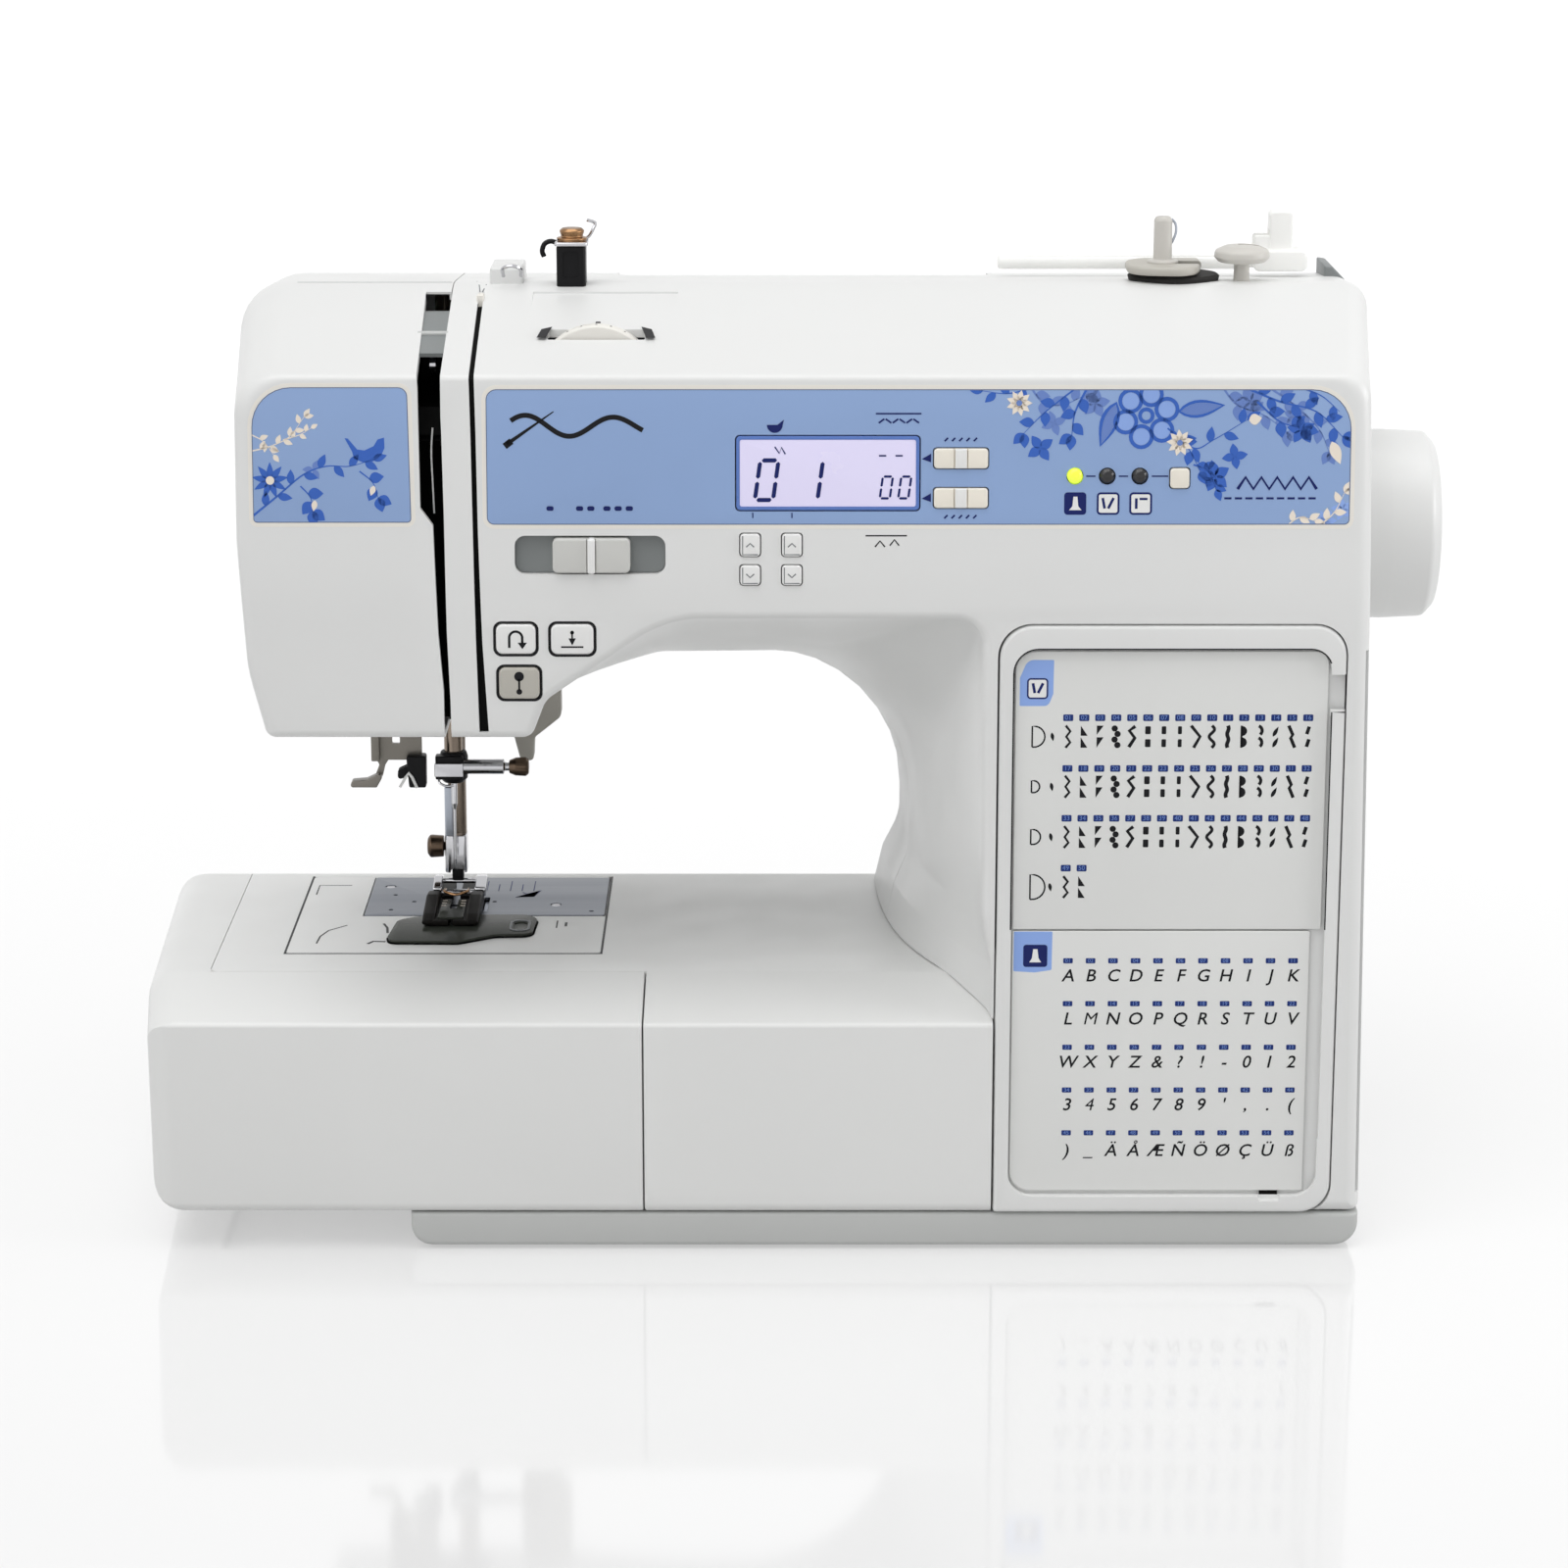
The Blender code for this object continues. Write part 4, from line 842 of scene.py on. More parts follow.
def make_plate():
    cover = soft_prism(rectangle(-165.9, -34.8, -63.7, 56.5, 2), "Z", 79.9, 82.15, 0.35)
    skirt = box(-159.6, -70.4, -29.6, 51.6, 76, 80.2)
    cover = cut(join(cover, skirt), box(-156, -74, -27.5, 48, 70, 79.9))
    cover = cut(cover, box(-144.9, -60, 8, 55.3, 81, 90), box(-136, -84, 8.6, 52, 70, 90))
    cover = cut(cover, prism(rounded(inset(bobbin_outline(), -0.5), 8), "Z", 70, 90))
    show(cover, "needle_plate_surround", SHELL_BED, replaces=["needle_plate_cover"])

    plate = soft_prism(rectangle(-144.5, 8.4, -64.2, 54.9, 1), "Z", 81.3, 82.35, 0.2)
    x, y = NEEDLE_X, NEEDLE_Y
    holes = [block(x - 3.6, x + 3.6, y - 1.2, y + 1.2, 70, 90, 1.1, "Z", 0.05)]
    for x in (-121, -111):
        holes.append(block(x, x + 3.4, 24, 36, 70, 90, 0.8, "Z", 0.05))
    for x in (-123.6, -105.6):
        holes.append(block(x, x + 2, 13, 30, 70, 90, 0.8, "Z", 0.05))
    for x, y in ((-138.5, 43.4), (-81, 21.2)):
        holes.append(rod("Z", x, y, 81.9, 90, 1.9, 0))
    for x, y in ((-136, 33), (-136, 15), (-129, 24.8), (-101.9, 24.8), (-68.7, 13.2)):
        holes.append(rod("Z", x, y, 81.9, 90, 0.8, 0))
    plate = cut(plate, *holes)
    show(plate, "stitch_plate", PLATE, replaces=["needle_plate"])
    screws = []
    for x, y in ((-138.5, 43.4), (-81, 21.2)):
        head = turned("Z", x, y, [(81.4, 1.7, 0), (82.25, 1.7, 0.3), (82.3, 0.02, 0)], 24)
        screws.append(cut(head, box(x - 2, x + 2, y - 0.25, y + 0.25, 82, 83)))
    show(gather(screws), "plate_screws", CHROME)

    lid = soft_prism(bobbin_outline(), "Z", 82.45, 83.3, 0.35, 8)
    lid = cut(lid, block(-93.5, -89, -12, -3, 82.95, 84, 2, "Z", 0.1))
    show(lid, "bobbin_window", SMOKE, "bobbin_lid", ["bobbin_cover"])
    ring = prism(rounded(rectangle(-94.8, -13.6, -88, -1, 3)), "Z", 83.32, 83.55)
    ring = cut(ring, prism(rounded(rectangle(-94, -12.8, -88.8, -1.8, 2.4)), "Z", 83, 84))
    show(ring, "bobbin_window_mark", GREY_INK_AND_SHADE, "bobbin_lid", slot="smoked_cover")
    # painted shade: black lines along the plate cover's left, right and front edges darken the gap round
    # it; the strokes after them are further dark lines on the cover
    lines = []
    for x0, x1, y0, y1 in ((-166.5, -165.8, -35.4, 57), (-63.8, -63.1, -35.4, 57),
                           (-165.8, -63.8, -35.4, -34.7)):
        lines.append(box(x0, x1, y0, y1, 81.2, 82.1))
    lines.append(stroke_solid([(-163, 34), (-163, 45.6), (-152, 45.6)], 0.45, 82.14, 82.2))
    lines.append(stroke_solid([(-157, -24), (-156.6, -16), (-154.5, -9), (-149, -3)], 0.55, 82.14, 82.2))
    lines.append(stroke_solid([(-79.5, -6), (-79.5, 2.5)], 0.5, 82.14, 82.2))
    lines.append(stroke_solid([(-76.5, -4), (-76.5, 0.5)], 0.9, 82.14, 82.2))
    lines.append(stroke_solid([(-140.2, -24.4), (-138.6, -21.6), (-134.6, -22)], 1.1, 82.14, 82.2))
    lines.append(stroke_solid([(-137, -1), (-135.4, -6), (-134.8, -12)], 0.8, 82.14, 82.2))
    show(gather(lines), "plate_cover_gap_shade_and_lines", BLACK_INK_AND_SHADE)
    marks = []
    for k in range(5):
        x = NEEDLE_X + 9 + 4 * k
        marks.append(stroke_solid([(x, 38), (x, 46 if k % 2 else 50)], 0.35, 82.3, 82.4))
    line = [(-95, 30), (-91, 34.5), (-87, 38.5), (-89, 31), (-93, 36)]
    marks.append(stroke_solid(line, 0.5, 82.3, 82.4))
    show(gather(marks), "stitch_plate_marks", INK_NAVY, slot="steel")


def bobbin_outline():
    return [(-133, -24.9, 3), (-110.5, -25.2, 4), (-99, -17.5, 6), (-87, -17, 4),
            (-86, 6.2, 6), (-122, 6.6, 9), (-132.6, 0, 6), (-134.2, -19, 3)]


# ---- Prints and painted shadow lines: thin closed plates laid on a face ------------------------------


def stroke(points, width, taper=False):
    """The outline of a line of even or tapering width, as one anticlockwise polygon."""
    places = [Vector(p) for p in points]
    left, right = [], []
    for i, here in enumerate(places):
        ahead = (places[min(i + 1, len(places) - 1)] - places[max(i - 1, 0)]).normalized()
        half = width / 2
        if taper:
            half *= 1 - 0.75 * i / (len(places) - 1)
        side = Vector((-ahead.y, ahead.x)) * half
        left.append(here + side)
        right.append(here - side)
    return [tuple(p) for p in right + left[::-1]]


def stroke_solid(points, width, low, high):
    return prism(stroke(points, width), "Z", low, high)


def clipped(outline, x0, x1, z0, z1):
    """The part of an outline inside a rectangle."""
    limits = [(Vector((1, 0)), x0), (Vector((-1, 0)), -x1), (Vector((0, 1)), z0), (Vector((0, -1)), -z1)]
    points = [Vector(p) for p in outline]
    for normal, limit in limits:
        kept = []
        for a, b in zip(points, points[1:] + points[:1]):
            da = a.dot(normal) - limit
            db = b.dot(normal) - limit
            if da >= 0:
                kept.append(a)
            if da * db < 0:
                kept.append(a + (b - a) * (da / (da - db)))
        points = kept
        if len(points) < 3:
            return []
    return [tuple(p) for p in points]


def arc(u, v, radius, start, end, steps=12, squash=1):
    turns = [math.radians(start + (end - start) * k / steps) for k in range(steps + 1)]
    return [(u + radius * math.cos(t), v + radius * squash * math.sin(t)) for t in turns]


def leaf(u, v, length, width, heading, steps=8):
    """A pointed leaf from (u, v) along a heading in degrees."""
    a = math.radians(heading)
    along = Vector((math.cos(a), math.sin(a)))
    side = Vector((-along.y, along.x))
    base = Vector((u, v))
    left, right = [], []
    for k in range(1, steps):
        t = k / steps
        half = width / 2 * math.sin(math.pi * t ** 0.8)
        left.append(base + along * (length * t) + side * half)
        right.append(base + along * (length * t) - side * half)
    return [tuple(p) for p in [base, *right, base + along * length, *left[::-1]]]


def on_front(x, z, height):
    return (x, face_y(z) - height, z)


def on_card(x, z, height):
    return (x, CARD_FACE - height, z)


def ink(name, outlines, material, low, high, surface=on_front, body="machine", slot=None):
    """Lays closed outlines on a surface as one piece: print, and painted shadow lines."""
    mesh = bmesh.new()
    for outline in outlines:
        if len(outline) < 3:
            continue
        bottom = [mesh.verts.new(surface(u, v, low)) for u, v in outline]
        top = [mesh.verts.new(surface(u, v, high)) for u, v in outline]
        mesh.faces.new(bottom)
        mesh.faces.new(top)
        for i in range(len(outline)):
            j = (i + 1) % len(outline)
            mesh.faces.new((bottom[i], bottom[j], top[j], top[i]))
    return show(solid(mesh), name, material, body, slot=slot)


def ring_outlines(outline_a, outline_b):
    """A band between two outlines of equally many points, as quads."""
    count = len(outline_a)
    return [[outline_a[i], outline_a[(i + 1) % count], outline_b[(i + 1) % count],
             outline_b[i]] for i in range(count)]


def frame_line(x0, z0, x1, z1, radius, width):
    outer = rounded(rectangle(x0, z0, x1, z1, radius))
    inner = rounded(inset(rectangle(x0, z0, x1, z1, radius), width))
    return [outer, inner]


def ink_frames(name, frames, material, low, high, surface=on_front, body="machine", slot=None):
    """Prints closed bands, each between an outer and an inner outline."""
    mesh = bmesh.new()
    for outer, inner in frames:
        lists = [[mesh.verts.new(surface(u, v, h)) for u, v in line] for line, h in
                 ((outer, low), (outer, high), (inner, high), (inner, low))]
        count = len(outer)
        for a, b in zip(lists, lists[1:] + lists[:1]):
            for i in range(count):
                j = (i + 1) % count
                mesh.faces.new((a[i], a[j], b[j], b[i]))
    return show(solid(mesh), name, material, body, slot=slot)


SHARP_SIGNS = ("M", "4")    # a wider stroke folds over itself in their corners
FONT_SCALE = 1.38    # the font's size for capitals of height 1
WELD_REACH = 0.0005


def lettering(name, words, material, low, high, surface, body, bold=0):
    """Generic characters, each (text, x, z, height, slant), standing on a surface."""
    parts = []
    for text, x, z, height, slant in words:
        curve = bpy.data.curves.new("text", "FONT")
        curve.body = text
        curve.size = height * FONT_SCALE
        curve.shear = slant
        curve.align_x = "CENTER"
        curve.align_y = "CENTER"
        curve.extrude = (high - low) / 2
        curve.resolution_u = 3
        curve.offset = 0 if text in SHARP_SIGNS else bold
        thing = linked("text", curve)
        graph = bpy.context.evaluated_depsgraph_get()
        data = bpy.data.meshes.new_from_object(thing.evaluated_get(graph))
        bpy.data.objects.remove(thing)
        for vertex in data.vertices:
            u, v, w = vertex.co
            vertex.co = surface(x + u, z + v, low + w + (high - low) / 2)
        parts.append(linked("solid", data))
    return show(reworked(gather(parts), weld), name, material, body)


def weld(mesh):
    """Joins the doubled points that a text leaves between its faces and its edges."""
    bmesh.ops.remove_doubles(mesh, verts=mesh.verts, dist=WELD_REACH)
    face_outwards(mesh)


# ---- Panel and its print -----------------------------------------------------------------------------

PANEL_BOX = (-94.2, 167.4, 234.1, 274.4)
PANEL_CORNER = (155.7, 262.7, 11.6)
STICKER_BOX = (-165.3, -117.7, 234.6, 275.1)


def make_panel():
    x0, x1, z0, z1 = -94.5, 167.7, 233.8, 274.7
    panel = [(x0, z0, 2.2), (x1, z0, 1.6), (x1, z1, 12), (x0, z1, 3.2)]
    plate = on_face(panel, 0.1, 1, 0.15, 8)
    d0, d1, e0, e1 = face_mm("lcd_display")
    plate = cut(plate, face_cutter(d0 - 0.4, d1 + 0.4, e0 - 0.4, e1 + 0.4, 1.5))
    for name in ("mode_key", "stitch_length_key", "stitch_width_key"):
        k0, k1, m0, m1 = face_mm(name)
        plate = cut(plate, face_cutter(k0 - 0.35, k1 + 0.35, m0 - 0.35, m1 + 0.35, 1.2))
    for x in LAMP_XS:
        plate = cut(plate, rod("Y", x, LAMP_Z, -100, -78, 2.6, 0))
    show(plate, "control_panel_face", PANEL, replaces=["control_panel"])

    x0, x1, z0, z1 = -165.5, -117.5, 234.4, 275.3
    sticker = [(x0, z0, 1.2), (x1, z0, 1.2), (x1 - 0.8, z1, 2.8), (x0, z1, 12)]
    show(on_face(sticker, 0.12, 0.3, 0.1, 8), "head_sticker", PANEL)
    borders = [[rounded(inset(corners, -1.3)), rounded(corners)] for corners in (panel, sticker)]
    ink_frames("panel_border", borders, CREAM, 0, 0.06)
    edges = [[rounded(corners), rounded(inset(corners, 0.22))] for corners in (panel, sticker)]
    ink_frames("panel_edge_line", edges, INK_EDGE, 0.05, 0.135)


def make_display():
    x0, x1, z0, z1 = face_mm("lcd_display")
    frame_plate = on_face(rectangle(x0, z0, x1, z1, 1.2), 0.3, 3, 0.2)
    frame_plate = cut(frame_plate, face_cutter(x0 + 1, x1 - 1, z0 + 1, z1 - 1, 0.8, -0.05))
    show(frame_plate, "display_frame", BEZEL)
    glass = on_face(rectangle(x0 + 1.05, z0 + 1.05, x1 - 1.05, z1 - 1.05, 0.7), 0.2, 4.4, 0.1)
    show(glass, "display_glass", SCREEN, replaces=["lcd_display"])
    shapes = []
    for u, v, height, digit in ((-10.3, 241.3, 12, "0"), (3.2, 241.3, 12, "1"),
                                (26.4, 241.8, 6.6, "0"), (32, 241.8, 6.6, "0")):
        shapes += seven_segment(u, v, height, digit)
    for u in (24.6, 29.6):
        shapes.append(stroke([(u, 254.7), (u + 2.2, 254.7)], 0.5))
    shapes.append(stroke([(-7, 257.4), (-5.6, 255.4), (-5, 257.2), (-3.8, 255.2)], 0.45))
    ink("display_digits", shapes, INK_NAVY, 0.22, 0.28, slot="display_lilac")


def seven_segment(u, v, height, digit):
    """A slanted seven-segment digit, as polygons."""
    wide = height * 0.46
    thick = height * 0.105
    half = height / 2
    ends = {
        "a": ((0, height), (wide, height)), "b": ((wide, height), (wide, half)),
        "c": ((wide, half), (wide, 0)),
        "d": ((0, 0), (wide, 0)), "e": ((0, half), (0, 0)), "f": ((0, height), (0, half)),
        "g": ((0, half), (wide, half)),
    }
    lit = {"0": "abcdef", "1": "bc"}[digit]
    shapes = []
    for name in lit:
        a, b = (Vector(p) for p in ends[name])
        along = (b - a).normalized()
        side = Vector((-along.y, along.x)) * (thick / 2)
        a = a + along * (thick * 0.35)
        b = b - along * (thick * 0.35)
        tip = along * (thick * 0.4)
        corners = [a, a + tip - side, b - tip - side, b, b - tip + side, a + tip + side]
        shapes.append([(u + p.x - wide / 2 + p.y * 0.14, v + p.y) for p in corners])
    return shapes


def flower(u, v, petals, length, width, heading=0):
    shapes = []
    for k in range(petals):
        shapes.append(leaf(u, v, length, width, heading + 360 * k / petals))
    return shapes


def round_flower(u, v, petals, radius):
    """A flower drawn in line: round petals in a ring, as closed bands."""
    bands = []
    for k in range(petals):
        a = 2 * math.pi * k / petals + 0.3
        x, z = u + radius * 0.62 * math.cos(a), v + radius * 0.62 * math.sin(a)
        bands += ring_outlines(circle(x, z, radius * 0.36, 20), circle(x, z, radius * 0.25, 20))
    bands += ring_outlines(circle(u, v, radius * 0.24, 16), circle(u, v, radius * 0.13, 16))
    return bands


def sprig(points, leaf_length, leaf_width, spacing, stem=0.55, lean_angle=48):
    """A stem with leaves on both sides, and one at its tip."""
    line = [p.to_2d() if len(p) > 2 else p for p in smooth_path([(x, z, 0) for x, z in points], 6)]
    shapes = [stroke([(p.x, p.y) for p in line], stem, True)]
    travelled, side = 0, 1
    for a, b in zip(line, line[1:]):
        travelled += (b - a).length
        if travelled > spacing:
            travelled = 0
            heading = math.degrees(math.atan2(b.y - a.y, b.x - a.x))
            shapes.append(leaf(b.x, b.y, leaf_length, leaf_width, heading + side * lean_angle))
            side = -side
    last = line[-1] - line[-2]
    shapes.append(leaf(line[-1].x, line[-1].y, leaf_length, leaf_width,
                       math.degrees(math.atan2(last.y, last.x))))
    return shapes


def drawn(items):
    """Shapes of sprigs, each (points, sizes...), and of flowers, each (x, z, petals, sizes...)."""
    shapes = []
    for first, *rest in items:
        shapes += sprig(first, *rest) if isinstance(first, list) else flower(first, *rest)
    return shapes


BIG_FLOWER = (105.5, 266.8)
PANEL_DARK = [
    ([(112, 263), (120, 257), (126, 259.5), (136, 265.5)], 4.8, 2.6, 4.6),
    ([(114, 262), (119, 256), (122, 250)], 4.4, 3, 3.6),
    ([(136, 275), (146, 271), (157, 268), (165, 260.5)], 5.2, 2.9, 3.4, 0.8),
    ([(139, 271), (146, 265), (153, 263)], 5, 3.4, 3.2, 0.7),
    ([(149, 276), (158, 273), (164, 268)], 4.6, 2.6, 3.2),
    ([(88, 276), (84, 268), (83, 261)], 4.8, 3.2, 3.4, 0.8),
    ([(84, 275), (75, 268), (68.5, 261.5)], 4.6, 3, 3.4),
    ([(74, 276), (64, 273.5), (56, 274.2)], 4.4, 2.4, 3.6),
    (126.5, 248.5, 5, 5, 3.4, 30),
    ([(120, 252), (124.5, 250), (127, 244.5)], 3.8, 2.4, 3),
    (152.5, 262.5, 5, 4.4, 2.8, 25),
    (132.5, 254.5, 4, 4, 2.6, 10),
    (73.5, 257, 4, 4.6, 3, 35),
]
PANEL_MID = [
    (77.5, 264.5, 4, 4, 2.4, 20),
    (90, 270.5, 5, 4.6, 3, 10),
    (137, 271, 5, 5, 3.4, 40),
    ([(70, 276), (74, 271), (80, 270), (87, 273)], 4.6, 2.8, 3, 0.7),
    ([(128, 276), (133, 270), (141, 267), (148, 262)], 4.8, 3, 3, 0.7),
    ([(143, 275), (151, 269.5), (158, 262.5), (161, 256)], 4.4, 2.8, 3, 0.7),
    (150.5, 266.5, 5, 3.6, 2.2, 12),
]
PANEL_SPRAY = [
    ([(148, 233), (152.5, 236), (157, 235)], 3.6, 2, 2.4, 0.5),
    ([(158, 233), (163, 237.5), (166, 243.5)], 3.8, 2.1, 2.4, 0.5),
]
PANEL_PALE = [(160.5, 235, 6, 3.4, 2), (165.5, 238.5, 5, 3.6, 2.2, 30)]
DAISIES = [(67, 270.6, 9, 4, 1.9), (115.8, 258.6, 9, 4.1, 1.9, 15)]
STICKER_BRANCH = [
    (-160.2, 247.2, 9, 5.6, 2, 10),
    ([(-165.5, 236.5), (-158, 242.5), (-150, 249), (-143, 251.5), (-136, 251.5), (-129, 253.5)], 4.6, 2.4,
     4, 0.7),
]
STICKER_LEAVES = [
    ([(-151, 245.5), (-148, 242), (-147.5, 238)], 4.8, 3.6, 2.6, 0.5),
    ([(-133, 250), (-129, 246.5), (-127.5, 242)], 4.6, 3.4, 2.8, 0.5),
]
STICKER_SPRAY = [
    ([(-166, 256), (-160, 257.5), (-154, 260.5), (-149.5, 266.5)], 3, 1.6, 2.1, 0.45),
    ([(-165.5, 261), (-162, 259), (-159, 255)], 2.8, 1.6, 2, 0.4),
    ([(-156, 259.5), (-151, 261), (-147.5, 263)], 2.4, 1.4, 2, 0.4),
]
BIRD = [(-137.4, 260), (-136.4, 259.9), (-133.6, 256.6), (-131.4, 256.3), (-128.6, 257.6),
        (-127.4, 259.6), (-125.4, 260.2), (-125.3, 257), (-126.4, 254.6), (-129, 252.9),
        (-132, 252.7), (-134.6, 253.8), (-135.2, 256)]


def make_flowers():
    """Generic blossoms and sprigs of this maker's own drawing, at both ends of the panel."""
    u, v = BIG_FLOWER
    dark = round_flower(u, v, 6, 10.5)
    dark += ring_outlines(leaf(96.5, 271, 14.5, 5.6, 250), leaf(96.3, 270.2, 12.8, 3.6, 250))
    dark += ring_outlines(leaf(115, 268, 14.5, 5.4, 8), leaf(115.9, 268.1, 12.6, 3.6, 8))
    dark += drawn(PANEL_DARK)
    mid = [leaf(96.3, 270.2, 12.6, 3.4, 250), leaf(116, 268.1, 12.4, 3.4, 8), *drawn(PANEL_MID)]
    pale = []
    for k in range(6):
        angle = math.pi / 3 * k + 0.3
        pale.append(circle(u + 6.5 * math.cos(angle), v + 6.5 * math.sin(angle), 2.5, 16))
    pale += drawn(PANEL_PALE)
    cream = [*drawn(DAISIES), leaf(161.8, 259, 7.4, 3.4, 292), leaf(136.6, 265.4, 4, 3.4, 10),
             *drawn(PANEL_SPRAY)]
    low = 0.11
    for name, shapes, material in (("pale", pale, INK_PALE), ("mid", mid, INK_MID),
                                   ("dark", dark, INK_BLUE), ("cream", cream, INK_CREAM)):
        kept = [clipped(shape, *PANEL_BOX) for shape in shapes]
        kept = [shape for shape in kept if shape and not outside_corner(shape)]
        ink("panel_print_" + name, kept, material, low - 0.02, low + 0.02)
        low += 0.02
    ink("panel_flower_centres", [circle(u, v, 0.9, 12) for u, v, *_ in DAISIES], INK_MID, 0.15, 0.2)

    dark = [*drawn(STICKER_BRANCH), BIRD, *drawn(STICKER_LEAVES)]
    mid = flower(-147, 250.5, 3, 3.4, 2, 60)
    cream = drawn(STICKER_SPRAY)
    cream += [circle(-160.2, 247.2, 1.3, 14), leaf(-146.6, 241.2, 3.4, 1.8, 260),
              leaf(-128.6, 245.6, 3.2, 1.8, 250)]
    for name, shapes, material, low in (("dark", dark, INK_BLUE, 0.11), ("mid", mid, INK_MID, 0.10),
                                        ("cream", cream, INK_CREAM, 0.13)):
        kept = [clipped(shape, *STICKER_BOX) for shape in shapes]
        ink("sticker_print_" + name, [shape for shape in kept if shape], material, low, low + 0.04)


def outside_corner(shape):
    """Whether a shape reaches past the panel's rounded corner."""
    u, v, radius = PANEL_CORNER
    return any(x > u and z > v and math.hypot(x - u, z - v) > radius for x, z in shape)


def make_emblem():
    """A needle and a loop of thread in place of a name, and a row of stitches in place of a number."""
    thread = []
    for k in range(61):
        t = k / 60
        x = -87 + 40 * t
        z = 263.6 + 3.4 * math.sin(2 * math.pi * (1.5 * t + 0.08)) * (1 - 0.25 * t)
        thread.append((x, z))
    needle = [(-88.2, 258.2), (-74, 268)]
    shapes = [stroke(thread, 1.5), stroke(needle, 1.25, True),
              stroke([(-88.9, 257.5), (-86.8, 259.1)], 2)]
    ink("panel_emblem", shapes, BLACK_INK_AND_SHADE, 0.11, 0.16)
    row = [(133.5 + 2.4 * k, 244.6 + (3.6 if k % 2 else 0)) for k in range(11)]
    shapes = [stroke(row, 0.95)]
    for k in range(9):
        shapes.append(stroke([(129.5 + 3.2 * k, 241.8), (131.7 + 3.2 * k, 241.8)], 0.6))
    ink("panel_stitch_row", shapes, INK_NAVY, 0.15, 0.19)

    small = []
    for x, count in ((-75.3, 1), (-64.6, 2), (-54.6, 3)):
        for k in range(count):
            u = x + (k - (count - 1) / 2) * 3.4
            small.append(rounded(rectangle(u - 1.1, 238, u + 1.1, 239.4, 0.6), 4))
    for x in (-13.7, -1.8):
        small.append(stroke([(x, 235.8), (x, 237.4)], 0.35))
    small.append(clipped(arc(-7, 264, 2.4, 180, 360) + [(-4.2, 265.6), (-6.2, 264)], -12, 0, 255, 270))
    for k in range(6):
        small.append(stroke([(24.5 + 2.1 * k, 264.6 + (1.2 if k % 2 else 0)),
                             (26.2 + 2.1 * k, 264.6 + (0 if k % 2 else 1.2))], 0.5))
    small.append(stroke([(23.6, 267.4), (37.4, 267.4)], 0.45))
    for x, z in ((49.5, 259.6), (49.5, 236.2)):
        for k in range(5):
            small.append(stroke([(x - 5 + 2.2 * k, z - 0.5), (x - 4 + 2.2 * k, z + 0.5)], 0.5))
    for x in (88.9, 98.8):
        small.append(stroke([(x - 1.4, 248.5), (x + 1.4, 248.5)], 0.4))
    small.append(stroke([(107.4, 248.5), (112.4, 248.5)], 0.4))
    for z in (253.9, 241.9):
        small.append([(37.6, z - 0.2), (40.4, z - 1.2), (40.4, z + 1.4)])
    ink("panel_small_marks", [s for s in small if s], INK_NAVY, 0.15, 0.19)

    lower = [stroke([(20.6, 230.4), (33.2, 230.4)], 0.4),
             stroke([(23.5, 227), (25, 228.8), (26.5, 227)], 0.45),
             stroke([(28, 227.4), (29.4, 229.2), (30.8, 227.4)], 0.45)]
    ink("width_scale_mark", lower, BLACK_INK_AND_SHADE, 0, 0.05, slot="casing_white")


def make_icons():
    """The three small pictures under the lamps."""
    squares = [rounded(rectangle(80.9, 236.8, 87.6, 243.6, 1), 5)]
    frames = [frame_line(x, 236.8, x + 6.9, 243.6, 1.2, 0.6) for x in (90.8, 100.7)]
    ink("lamp_icons_navy", squares, INK_NAVY, 0.11, 0.15)
    ink_frames("lamp_icon_frames", frames, INK_NAVY, 0.11, 0.17)
    fields = [rounded(rectangle(x + 0.5, 237.3, x + 6.4, 243.1, 0.8), 5) for x in (90.8, 100.7)]
    fields.append([(82.4, 238.2), (86.2, 238.2), (85.2, 239.4), (84.9, 242.3), (83.7, 242.3),
                   (83.4, 239.4)])
    ink("lamp_icon_fields", fields, BUTTON, 0.14, 0.165, slot="panel_blue")
    marks = [stroke([(92.6, 241.9), (93.2, 238.7)], 0.8), stroke([(95.9, 241.9), (94.3, 238.7)], 0.8),
             stroke([(102.8, 238.6), (102.8, 241.8)], 0.8), stroke([(103.8, 241.6), (106.2, 241.6)], 0.7)]
    ink("lamp_icon_marks", marks, INK_NAVY, 0.16, 0.19)


# ---- Controls ----------------------------------------------------------------------------------------


